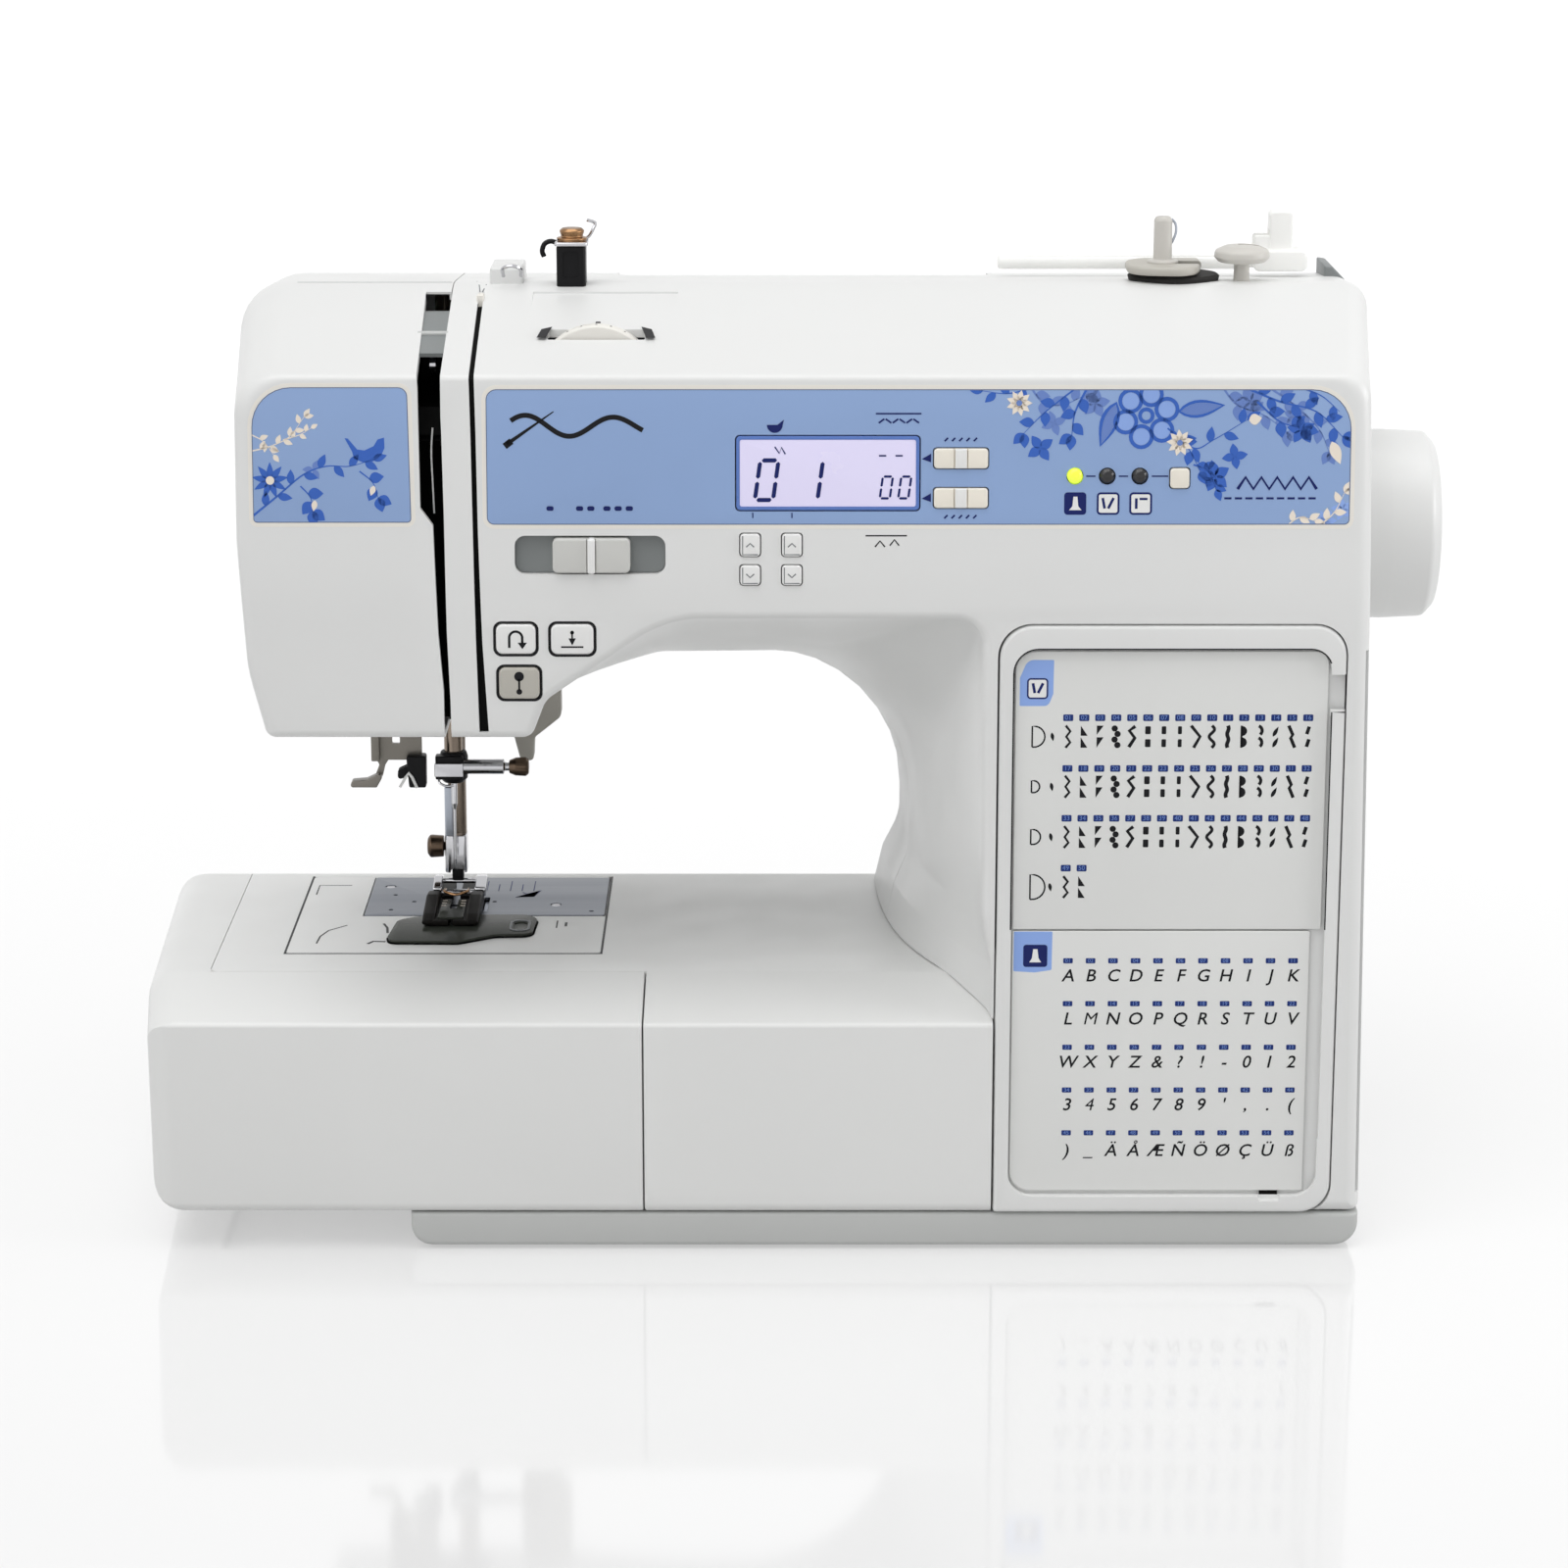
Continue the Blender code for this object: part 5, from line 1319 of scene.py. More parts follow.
def make_controls():
    x0, x1, z0, z1 = face_mm("mode_lights")
    bar = on_face(rectangle(x0, z0, x1, z1, 1.5), -3, 5.6, 0.3)
    show(bar, "lamp_board", BLACK, replaces=["mode_lights"])
    lamps = (("lamp_lit", LAMP), ("lamp_middle", LAMP_OFF), ("lamp_right", LAMP_OFF))
    for x, (name, material) in zip(LAMP_XS, lamps):
        dome = turned("Y", x, LAMP_Z, [(-82.9, 2.35, 0), (-86, 2.35, 0.3), (-86.9, 1.5, 0.9),
                                       (-87.1, 0.02, 0)], 32)
        show(dome, name, material)

    for name in KEYS:
        x0, x1, z0, z1 = face_mm(name)
        wide = x1 - x0 > 10
        key = on_face(rectangle(x0, z0, x1, z1, 1.1), 0.9, 3.9, 0.45)
        if wide:
            middle = (x0 + x1) / 2
            for side in (-1, 1):
                line = middle + 2 * side
                key = cut(key, on_face(rectangle(line - 0.16, z0 - 1, line + 0.16, z1 + 1), 2, 0.1, 0))
            ridge = on_face(rectangle(middle - 1.75, z0 + 0.1, middle + 1.75, z1 - 0.1, 0.4), 1.3, 0.5,
                            0.35)
            show(ridge, name + "_ridge", BUTTON, name + "_body", slot="key_cream")
        material = BUTTON if name.startswith("stitch_tens") or name.startswith("stitch_ones") else KEY
        show(key, name + "_cap", material, name + "_body", [name], slot="key_cream")
        if name.endswith("up_key") or name.endswith("down_key"):
            u, v = (x0 + x1) / 2, (z0 + z1) / 2
            way = 1 if "up" in name else -1
            # painted shadow: an L-shaped grey line along the key's left and bottom edges; the chevron
            # beside it is a printed arrow
            shadow_line_and_arrow = [stroke([(x0 + 0.7, z1 - 0.5), (x0 + 0.7, z0 + 0.6), (x1 - 0.6, z0 + 0.6)], 0.35),
                    stroke([(u - 1.2, v - 0.5 * way), (u, v + 0.6 * way), (u + 1.2, v - 0.5 * way)], 0.4)]
            ink(name + "_mark", shadow_line_and_arrow, GREY_INK_AND_SHADE, 0.9, 0.94, body=name + "_body", slot="key_cream")

    rings = []
    for name in BUTTONS:
        x0, x1, z0, z1 = face_mm(name)
        cap = block(x0, x1, FRONT - 0.9, FRONT + 4.4, z0, z1, 2, "Y", 0.7, 8, (True, False))
        material = BEIGE if name == "start_stop_button" else BUTTON
        show(cap, name + "_cap", material, name + "_body", [name])
        rings.append(frame_line(x0 - 0.9, z0 - 0.9, x1 + 0.9, z1 + 0.9, 2.6, 0.6))
        u, v = (x0 + x1) / 2, (z0 + z1) / 2
        if name == "reverse_button":
            hook = [(u - 2, v - 2.6), (u - 2, v + 0.3), *arc(u, v + 0.5, 2, 170, 10, 10),
                    (u + 2, v - 1.2)]
            shapes = [stroke(hook, 0.75), [(u + 0.6, v - 1), (u + 3.4, v - 1), (u + 2, v - 3)]]
        elif name == "needle_position_button":
            shapes = [stroke([(u, v + 2.8), (u, v + 0.2)], 0.5), circle(u, v + 2.2, 0.6, 12),
                      [(u - 1.1, v + 0.4), (u, v - 1.8), (u + 1.1, v + 0.4)],
                      stroke([(u - 3.4, v - 2.3), (u + 3.4, v - 2.3)], 0.5)]
        else:
            shapes = [circle(u, v + 2.2, 1.5, 18), stroke([(u, v + 1.5), (u, v - 2.2)], 0.6),
                      circle(u, v - 2.6, 0.9, 14)]
        ink(name + "_icon", shapes, BLACK_INK_AND_SHADE, 0, 0.05, lambda a, b, h: (a, FRONT - 0.9 - h, b),
            name + "_body")
    ink_frames("button_rings", rings, BLACK_INK_AND_SHADE, -0.02, 0.05)

    back = on_face(rectangle(-86, 218.8, -40.5, 230.2, 3), -2.4, 2.9, 0)
    show(back, "slider_slot_floor", SLOT_GREY)
    knob = on_face(rectangle(-74.6, 219.3, -51, 229.7, 1.6), 1.8, 2.2, 0.6)
    knob = cut(knob, on_face(rectangle(-64.3, 218, -64, 231, 0), 3, -0.9, 0),
               on_face(rectangle(-61.6, 218, -61.3, 231, 0), 3, -0.9, 0))
    ridge = on_face(rectangle(-63.9, 219.2, -61.7, 229.8, 0.7), 2.9, 1, 0.6)
    show(knob, "speed_knob_cap", KNOB, "speed_knob", ["speed_slider"])
    show(ridge, "speed_knob_ridge", BUTTON, "speed_knob", slot="key_cream")


# ---- Stitch cards ------------------------------------------------------------------------------------


def make_card_holder():
    outline = [(COLUMN_LEFT + 0.2, 12.8, 1), (168.2, 12.8, 9.8), (168.2, 202.8, 9.8),
               (COLUMN_LEFT + 0.2, 202.8, 10.5)]
    tray = soft_prism(outline, "Y", FRONT - 0.3, -84.9, 1.4, 10, (True, False))
    pocket = soft_prism([(66.4, 18.2, 7.5), (163.6, 18.2, 7.5), (163.6, 195.2, 6.5), (66.4, 195.2, 6.5)],
                        "Y", -100, -85.9, 0.2, 8)
    tray = cut(tray, pocket)
    tray = cut(tray, box(160, 175, -87.6, -85.9, 19.2, 194.6))
    tray = cut(tray, block(160.5, 180, -100, -85.9, 176.2, 187.4, 2.2, "Y", 0.2))
    tray = cut(tray, block(159, 163.9, -100, -85.9, 37, 174.6, 0.6, "Y", 0.1))
    tray = cut(tray, block(145.6, 152.2, -100, -87.2, 16.6, 19.4, 0.8, "Y", 0.1))
    show(tray, "card_frame", SHELL, replaces=["card_holder"])
    dark = [block(146, 151.8, -87.15, -86.9, 17.8, 19.9, 0.6, "Y", 0.05)]
    show(gather(dark), "thumb_slot_shadow", PAINTED_SHADE_BLACK)
    line = [(66.2, 106), (66.2, 187.7), *arc(73.9, 187.7, 7.7, 180, 90, 10), (157.1, 195.4),
            *arc(157.1, 188.7, 6.7, 80, 20, 6)]
    edge = [stroke(line, 0.42), stroke([(163.9, 106), (163.9, 175.6), (168, 175.6)], 0.4)]
    ink("card_shadow_line", edge, BLACK_INK_AND_SHADE, -0.02, 0.03, lambda u, v, h: (u, FRONT - 0.3 - h, v))


def wavy(u, v, bumps, wide, tall, steps=24):
    return [(u + wide * math.sin(2 * math.pi * bumps * k / steps),
             v + tall * (0.5 - k / steps)) for k in range(steps + 1)]


def stitch_icon(kind, u, v):
    """One of sixteen generic stitch pictures, two repeats tall."""
    tall = 7
    top = v + tall / 2
    if kind == 0:
        return [stroke([(u - 0.7, top), (u + 0.7, top - 1.8), (u - 0.5, v), (u + 0.7, v - 1.8),
                        (u - 0.7, v - 3.5)], 0.8)]
    if kind == 1:
        return [[(u - 1, top), (u + 1.1, v + 0.3), (u - 1, v + 0.3)],
                [(u - 1, v - 0.2), (u + 1.1, v - 3.5), (u - 1, v - 3.5)]]
    if kind == 2:
        return [[(u - 1, top), (u + 1.1, top), (u - 1, v + 0.6)],
                [(u - 1, v - 0.2), (u + 1.1, v - 0.2), (u - 1, v - 3.5)]]
    if kind == 3:
        return [circle(u + (0.5 if k % 2 else -0.4), top - 0.9 - 1.75 * k, 1, 10) for k in range(4)]
    if kind == 4:
        return [stroke([(u + 1, top - 0.2), (u - 0.8, top - 1.6), (u + 0.9, v - 0.4), (u - 0.9, v - 3.3)],
                       1.1)]
    if kind in (5, 6, 7):
        half = (0.85, 0.7, 0.6)[kind - 5]
        return [rounded(rectangle(u - half, z, u + half, z + 2.5, 0.3), 3) for z in (v + 0.8, v - 3.3)]
    if kind == 8:
        return [stroke([(u - 1.5, top), (u + 1.3, v), (u - 0.6, v - 3.5)], 1)]
    if kind == 9:
        return [stroke(wavy(u, v, 1.5, 0.8, 7), 0.95)]
    if kind == 10:
        return [stroke(wavy(u, v, 2, 0.22, 7), 1.2)]
    if kind == 11:
        return [stroke([(u - 0.7, top), (u - 0.7, v - 3.5)], 0.65),
                *[arc(u - 0.6, z, 1.6, -90, 90, 8) for z in (v + 1.8, v - 1.8)]]
    if kind == 12:
        return [stroke(arc(u - 0.9, z, 1.6, 70, -50, 8), 1) for z in (v + 1.9, v - 1.9)]
    if kind == 13:
        return [leaf(u - 0.9, z - 1.7, 3.6, 1.2, 62) for z in (v + 1.7, v - 1.7)]
    if kind == 14:
        return [stroke([(u - 1, top), (u + 0.3, v + 0.6), (u - 0.3, v - 0.4), (u + 1, v - 3.5)], 1.05)]
    return [stroke([(u + 0.4, z + 1.2), (u - 0.3, z - 1.2)], 1.1) for z in (v + 2, v - 2)]


LETTERS = ["ABCDEFGHIJK", "LMNOPQRSTUV", "WXYZ&?!-012", "3456789',.(", ")_ÄÅÆÑÖØÇÜß"]


def make_cards():
    for place_name, x1, z0, z1, top, bottom in (("upper", 162.9, 105.6, 194.2, 6, 0.6),
                                                ("lower", 159.6, 19.6, 105, 0.6, 6.4)):
        outline = [(67, z0, bottom), (x1, z0, 0.6), (x1, z1, top * 0.6 + 0.3), (67, z1, top)]
        card = soft_prism(outline, "Y", CARD_FACE, CARD_BACK, 0.25, 8)
        show(card, place_name + "_chart", CARD, place_name + "_card", ["stitch_card_" + place_name])

    labels, words, marks = [], [], []
    for row, (label_z, icon_z) in enumerate(((173.4, 167.4), (157.3, 151.5), (141.4, 135.4),
                                             (125.4, 119.3))):
        for k in range(16 if row < 3 else 2):
            x = 83.2 + 4.92 * k
            labels.append(rounded(rectangle(x - 1.55, label_z - 1.05, x + 1.55, label_z + 1.05, 0.35), 3))
            words.append((f"{16 * row + k + 1:02d}", x, label_z, 1.5, 0))
            marks += stitch_icon(k, x, icon_z)
        tall = (3.3, 1.9, 2.4, 4)[row]
        x = 72.2
        d_shape = [(x, icon_z - tall), (x, icon_z + tall), *arc(x + 0.6, icon_z, tall, 80, -80, 12, 1)]
        marks.append(stroke([*d_shape, (x, icon_z - tall)], 0.5))
        marks.append(leaf(x + 6, icon_z + 1.3, 2.8, 1.1, 280))
    ink("chart_stitches", marks, BLACK_INK_AND_SHADE, -0.01, 0.03, on_card, "upper_card")
    ink("chart_number_fields", labels, INK_LABEL, -0.01, 0.03, on_card, "upper_card")
    lettering("chart_numbers", words, INK_MID, 0.03, 0.05, on_card, "upper_card")

    labels, words, numbers = [], [], []
    for row, line in enumerate(LETTERS):
        z = (90.4, 76.3, 62.1, 48, 32.8)[row]
        for k, letter in enumerate(line):
            x = 84.4 + 7.02 * k + 0.08 * row
            words.append((letter, x, z, 4.1, 0.20))
            label_z = z + (5, 5.1, 5, 5, 6)[row]
            labels.append(rounded(rectangle(x - 1.5, label_z - 0.85, x + 1.5, label_z + 0.85, 0.3), 3))
            numbers.append((f"{11 * row + k + 1:02d}", x, label_z, 1.3, 0))
    lettering("chart_letters", words, BLACK_INK_AND_SHADE, -0.01, 0.03, on_card, "lower_card", 0.06)
    ink("letter_number_fields", labels, INK_LABEL, -0.01, 0.03, on_card, "lower_card")
    lettering("letter_numbers", numbers, INK_MID, 0.03, 0.05, on_card, "lower_card")

    tab = rounded([(68.2, 177.1, 0.4), (77, 177.1, 2), (78.5, 181, 1), (78.6, 191.6, 0.4),
                   (70.5, 191.6, 3), (68.2, 186, 1)])
    ink("upper_chart_tab", [tab], INK_PALE, -0.01, 0.02, on_card, "upper_card")
    edge = [frame_line(70.4, 179.3, 76.9, 185.9, 1.2, 0.5)]
    field = [rounded(rectangle(70.8, 179.7, 76.5, 185.5, 0.8))]
    ink_frames("upper_chart_icon_frame", edge, INK_NAVY, 0, 0.06, on_card, "upper_card")
    ink("upper_chart_icon_field", field, BUTTON, 0, 0.04, on_card, "upper_card", slot="panel_blue")
    legs = [stroke([(72.2, 184.3), (72.8, 181.2)], 0.85), stroke([(75.3, 184.3), (73.8, 181.2)], 0.85)]
    ink("upper_chart_icon", legs, INK_NAVY, 0.03, 0.07, on_card, "upper_card")
    tab = rounded([(67.4, 92, 0.4), (74, 91.6, 1), (79.3, 92.4, 0.6), (79.4, 104.9, 0.3),
                   (67.4, 104.9, 0.3)])
    ink("lower_chart_tab", [tab], INK_PALE, -0.01, 0.02, on_card, "lower_card")
    field = [rounded(rectangle(70.4, 93.4, 77.9, 100.6, 0.9))]
    ink("lower_chart_icon_field", field, INK_NAVY, 0, 0.05, on_card, "lower_card")
    bell = [(72.3, 94.9), (76, 94.9), (75.2, 96.2), (74.8, 99.2), (73.5, 99.2), (73.1, 96.2)]
    ink("lower_chart_icon", [bell], BUTTON, 0.04, 0.08, on_card, "lower_card", slot="panel_blue")


# ---- Thread path -------------------------------------------------------------------------------------


def skin_strip(x0, x1, y_end, depth, thick, z_low=168.5):
    """A strip that follows the inside of the front and the sloping top, at a depth below them."""
    outer, inner = [], []
    slope = (FRONT, -88, -87, -85, -80, -70, -60, -50, -40, -33, y_end)
    line = [(FRONT, z) for z in (z_low, 204, 213, 222, 250)]
    line += [(y, top_at(y)) for y in slope]
    for i, (y, z) in enumerate(line):
        upper = 1 if i > 4 else 0
        tilt = Vector((1, 0)) if not upper else Vector((0.31, -0.95))
        if i == 5:
            tilt = Vector((0.76, -0.5))
        near = Vector((y, z)) + tilt * depth
        far = Vector((y, z)) + tilt * (depth + thick)
        outer.append((near.x, near.y))
        inner.append((far.x, far.y))
    strip = prism([*outer, *inner[::-1]], "X", x0, x1)
    return bend(strip, leaned)


def make_slot_parts():
    """What shows in the take-up slot and in the thread groove beside it, with black linings inside both
    as painted shade.
    """
    # painted shade: black strips along the slot's sides and far end stand for the shade inside it
    left = skin_strip(-118.2, -117.5, SLOT_END, 2.6, 20)
    right = skin_strip(-106.2, -105.6, SLOT_END, 2.9, 20)
    back = skin_strip(-118.2, -105.6, SLOT_END, 20, 2)
    show(gather([left, right, back]), "take_up_channel", PAINTED_SHADE_BLACK)
    # painted shade: a black floor and a black wall in the thread groove stand for the shade in it
    groove = skin_strip(-101, -94.2, GROOVE_END, 1.5, 0.9)
    show(groove, "thread_groove_floor", PAINTED_SHADE_BLACK)
    cheek = skin_strip(-100.9, -100.4, GROOVE_END, 2.6, 8)
    show(cheek, "thread_groove_wall", BLACK)
    guard, under = [], []
    for y in (-67, -60, -52, -44, -38, -34, -32):
        z = leaned((0, y, top_at(y))).z - 1.8 - (1.2 if y > -35 else 0) - (1.4 if y > -33 else 0)
        guard.append((y, z))
        under.append((y + 0.2, z - 1.2))
    plate = prism([*guard, *under[::-1]], "X", -117.2, -107.7)
    bar = prism(circle(-53.5, leaned((0, -53.5, top_at(-53.5))).z - 1.7, 0.9, 16), "X", -117.1, -107.8)
    show(plate, "take_up_guard", SLOT_GREY)
    show(bar, "take_up_guard_bar", BASE)
    # a thin white strand down the slot, where a bright line shows there
    thread = thin_wire([(-111.2, -78, 262), (-111.6, -79.5, 255), (-111.3, -80.5, 246),
                        (-111, -80.5, 236)], 0.28)
    show(thread, "slot_white_strand", BUTTON)


def make_take_up():
    """A polished lever with an eye, in place of the plain one."""
    outline = [(-13, 235.8, 1), (-8.6, 242.6, 3), (-55.5, 282.2, 3), (-59.8, 282.4, 2.4),
               (-64, 279.4, 1.6), (-62.6, 276.2, 1.6), (-57.5, 275, 4)]
    arm = prism(rounded(outline, 6), "X", -112.9, -111.1)
    arm = cut(arm, rod("X", -59.8, 279.4, -120, -100, 1.3, 0),
              prism(stroke([(-62.5, 279), (-67, 275.5)], 0.6), "X", -115, -105))
    hub = turned("X", -14, 240, [(-113.3, 3.8, 0), (-113.3, 5, 0.4), (-109, 5, 0.4), (-109, 2.5, 0),
                                 (-101.6, 2.5, 0.3), (-101.6, 1, 0)], 32)
    show(join(arm, hub), "take_up_arm", CHROME, "take_up", ["take_up_lever"])


# ---- Top ---------------------------------------------------------------------------------------------


def make_top():
    x0, x1, y0, y1, z0, z1 = node_mm("tension_dial")
    u, v = (x0 + x1) / 2, (z0 + z1) / 2
    line = [(y0, 14, 0), (y0, DIAL_RADIUS - 0.6, 0.6), (y0 + 1, DIAL_RADIUS, 0.4),
            (y1 - 1, DIAL_RADIUS, 0.4), (y1, DIAL_RADIUS - 0.6, 0.6), (y1, 14, 0)]
    wheel = turned("Y", u, v, line, 96, 4)
    notches = []
    for k in range(48):
        a = 2 * math.pi * k / 48
        notches.append(rod("Y", u + (DIAL_RADIUS + 0.25) * math.cos(a),
                           v + (DIAL_RADIUS + 0.25) * math.sin(a), y1 - 1.6, y1 + 1, 0.42, 0, 8))
    wheel = cut(wheel, gather(notches), rod("Y", u, v, -70, -40, 3, 0))
    show(wheel, "tension_wheel", PIN_WHITE, "dial", ["tension_dial"])

    def on_rim(a, b, height):
        angle = math.pi / 2 - a / DIAL_RADIUS
        return (u + (DIAL_RADIUS + height) * math.cos(angle), b,
                v + (DIAL_RADIUS + height) * math.sin(angle))

    words = [(str(4 + k), 4.6 * k, y0 + 1.7, 1.3, 0) for k in range(-4, 5)]
    lettering("dial_numbers", words, BLACK_INK_AND_SHADE, 0, 0.05, on_rim, "dial")

    def shelf_place(a, b, height):
        return (a, b, shelf_z(b) + height)

    marks = [[(-80.2, -59.5), (-77.4, -59.5), (-75.8, -51.6), (-79, -53.4)],
             [(-43.8, -59.5), (-46.6, -59.5), (-48.2, -51.6), (-45, -53.4)],
             [(-62.8, -51.4), (-60.8, -51.4), (-61, -47.8), (-62.4, -47.8)]]
    ink("dial_marks", marks, BLACK_INK_AND_SHADE, -0.05, 0.06, shelf_place)
    # painted shade: a black liner round the dial's opening in the shelf stands for the shade inside it
    well = box(-77.6, -46.4, -59.5, -51.5, 262, 282)
    well = cut(well, box(-77.1, -46.9, -59, -52, 250, 290))
    show(well, "dial_well", PAINTED_SHADE_BLACK)

    post = block(-75.8, -66.6, -22.5, -12.5, 294.5, 310, 1.2, "Z", 0.6, 6)
    post = cut(post, block(-73.8, -68.6, -24, -21.9, 300, 308.4, 0.8, "Y", 0.1))
    show(post, "pretension_post", BLACK, replaces=["pretension_guide"])
    plate = block(-76.4, -65.8, -23.2, -11.8, 310, 311.2, 1.4, "Z", 0.3)
    hook = thin_wire([(-75.2, -17.5, 310.2), (-77.6, -17.8, 311), (-79.6, -18, 310.2),
                      (-80.4, -18.2, 308), (-79.8, -18.2, 306.2)], 0.8, 10)
    show(plate, "pretension_plate", CHROME)
    show(hook, "pretension_hook", BLACK)
    cap = turned("Z", -71, -17.5, [(311.2, 1.5, 0), (311.2, 4.6, 0.3), (312.2, 4.9, 0.3),
                                   (312.6, 3.4, 0.3), (314.4, 4, 0.5), (315.2, 3, 0.5), (315.4, 0.02, 0)],
                 40)
    cap = cut(cap, box(-76, -66, -17.9, -17.1, 314.6, 317))
    show(cap, "pretension_cap", COPPER)
    wire = thin_wire([(-68, -15, 311), (-65.8, -14.8, 312.2), (-64.4, -14.8, 314.6),
                      (-63.8, -14.8, 316.4), (-66.4, -15.2, 317.4)], 0.55)
    show(wire, "pretension_wire", CHROME)
    loop = [(-92.5, -22, 300.5), (-92.5, -24, 303.2), (-89.5, -25.5, 304.2), (-87, -24, 303),
            (-87, -21, 300.5)]
    guide = thin_wire(loop, 0.6)
    show(guide, "thread_guide_loop", CHROME)

    raised = soft_prism([(-97.2, 294.4, 0.3), (-86.4, 294.4, 0.3), (-86.7, 302.8, 0.8),
                         (-97, 302.8, 0.8)], "Y", -19, 2, 0.9, 6)
    show(raised, "thread_ledge", SHELL)
    tooth = soft_prism([(-100.3, 292, 0.3), (-98.1, 292, 0.3), (-98.1, 296.2, 0.5), (-100.3, 296.2, 0.5)],
                       "Y", -33.4, -27.6, 0.4, 4)
    show(tooth, "groove_tooth", CREAM)

    def on_top(x, y, height):
        return (x, y, leaned((0, y, top_at(y))).z + height)

    seams = [stroke([(-99.6, -27), (-100.2, -21), (-101.4, -14)], 0.35),
             stroke([(-98.8, -27), (-98, -20)], 0.35),
             stroke([(-158, -16.5), (-109, -16.5)], 0.3)]
    ink("top_seams", seams, GREY_INK_AND_SHADE, -0.05, 0.04, on_top)
    end_rib = soft_prism([(170, 289, 0.3), (178.4, 289, 0.3), (177.4, 294, 0.8), (172.6, 298.8, 0.8),
                          (170, 299.2, 0.4)], "Y", 12, 34, 0.6, 6)
    show(end_rib, "end_rib", SLOT_GREY)


def make_winder():
    seat = soft_prism([(104.4, -19, 9), (125, -22.5, 8), (128.6, -8, 6), (128.6, 4, 2), (104.4, 4, 9)],
                      "Z", 300.2, 303, 1, 10)
    slot = block(112.4, 136, -11.2, -4.8, 290, 320, 3.1, "Z", 0.1)
    seat = cut(seat, slot)
    show(seat, "winder_seat_plate", BEIGE)
    gasket = []
    for z, grow in ((296.6, -1.4), (297.6, -0.3), (298.9, 0), (299.6, -0.8)):
        gasket.append([(119.6 + (14.6 + grow) * math.cos(t), -7.5 + (12.6 + grow) * math.sin(t), z)
                       for t in [2 * math.pi * k / 96 for k in range(96)]])
    gasket = cut(loft(gasket), block(112.4, 127.8, -11.2, -4.8, 290, 320, 3.1, "Z", 0.1))
    show(gasket, "winder_gasket", RUBBER, replaces=["bobbin_winder_seat"])
    line = [(299, 1, 0), (299, 2.9, 0.2), (302.6, 2.9, 0.3), (302.6, 5, 0.4), (303.8, 5, 0.5),
            (304, 3, 0.4), (316.4, 2.9, 0.2), (317.6, 2.3, 0.8), (317.6, 0.02, 0)]
    shaft = turned("Z", 116, -8, line, 40)
    shaft = cut(shaft, box(112, 120, -8.4, -7.6, 315.5, 320))
    show(shaft, "winder_pin", PIN_GREY, "winder", ["bobbin_winder_shaft"])
    spring = thin_wire([(118.6, -8, 316.8), (119.9, -8, 315.2), (120.1, -8, 312.6), (119.2, -8, 310),
                        (118.6, -8, 309)], 0.4)
    show(spring, "winder_pin_spring", STEEL, "winder")
    line = [(296, 1, 0), (296, 2.6, 0.2), (303, 2.4, 1), (303.6, 7.4, 0.8), (305, 8.8, 0.9),
            (307.2, 8.6, 1.4), (308.6, 5.4, 2.4), (309.2, 0.02, 0)]
    stopper = turned("Z", 141, -10, line, 56)
    stopper = cut(stopper, block(139.5, 151, -11, -9, 307.4, 312, 0.6, "Z", 0.2))
    show(stopper, "winder_stop", PIN_GREY, replaces=["winder_stopper"])


def make_spool():
    holder = block(146.5, 164, 6.4, 18, 298, 304.8, 2.2, "Y", 0.8)
    tower = block(151.6, 159.2, 8.5, 15.5, 303, 317.2, 1.6, "Y", 0.8)
    step = block(146.6, 152.6, 8.8, 15.2, 304, 309.6, 1.2, "Y", 0.6)
    holder = join(holder, tower, step)
    holder = cut(holder, box(140, 152.8, 9, 15, 290, 311))
    show(holder, "spool_holder", HOLDER_WITH_PAINTED_GLOW, replaces=["spool_pin_holder"])
    x0, x1, y0, y1, z0, z1 = node_mm("spool_pin")
    y, z, radius = (y0 + y1) / 2, (z0 + z1) / 2, (z1 - z0) / 2
    rings = [(x0, 1, 0), (x0, radius, 1.2), (x1 - 6, radius, 0.3), (x1 - 5.6, radius - 0.5, 0.2),
             (x1, radius - 0.5, 0.4), (x1, 0.5, 0)]
    pin = turned("X", y, z, rings, 32)
    flutes = [rod("X", y + (radius + 0.55) * math.cos(a), z + (radius + 0.55) * math.sin(a), x0 + 4,
                  x1 - 12, 0.9, 0, 12)
              for a in [math.pi / 4 + math.pi / 2 * k for k in range(4)]]
    pin = cut(pin, *flutes)
    show(pin, "spool_rod", HOLDER_WITH_PAINTED_GLOW, "spool_holder_pin", ["spool_pin"])


def make_handle():
    grip = soft_prism([(22, 287, 2.4), (33, 287, 2.4), (33, 292.6, 2.4), (22, 292.6, 2.4)], "X", -54, 58,
                      2, 6)
    arms = []
    for x in (-56.5, 53.5):
        arms.append(soft_prism([(22.4, 287.3, 1.8), (44.6, 287.3, 2.2), (44.6, 292.1, 2.2),
                                (22.4, 292.1, 1.8)], "X", x, x + 6.5, 1, 6))
    grip = join(grip, *arms)
    ribs = [block(-40 + 8 * k, -36.5 + 8 * k, 20, 35, 291.7, 295, 0.5, "Z", 0.1) for k in range(11)]
    grip = cut(grip, *ribs)
    show(grip, "carrying_handle", PIN_WHITE, "handle", ["carry_handle"])
    pins = []
    for x in (-59.6, 59.2):
        pins.append(rod("X", 42, 289.7, x, x + 4.4, 1.3, 0.2, 20))
    show(gather(pins), "handle_pins", STEEL)
    well = block(-58.6, 62.6, 19.4, 47.6, 283.4, 284.3, 3, "Z", 0.2)
    show(well, "handle_well", SHELL)


# ---- Right end and rear ------------------------------------------------------------------------------


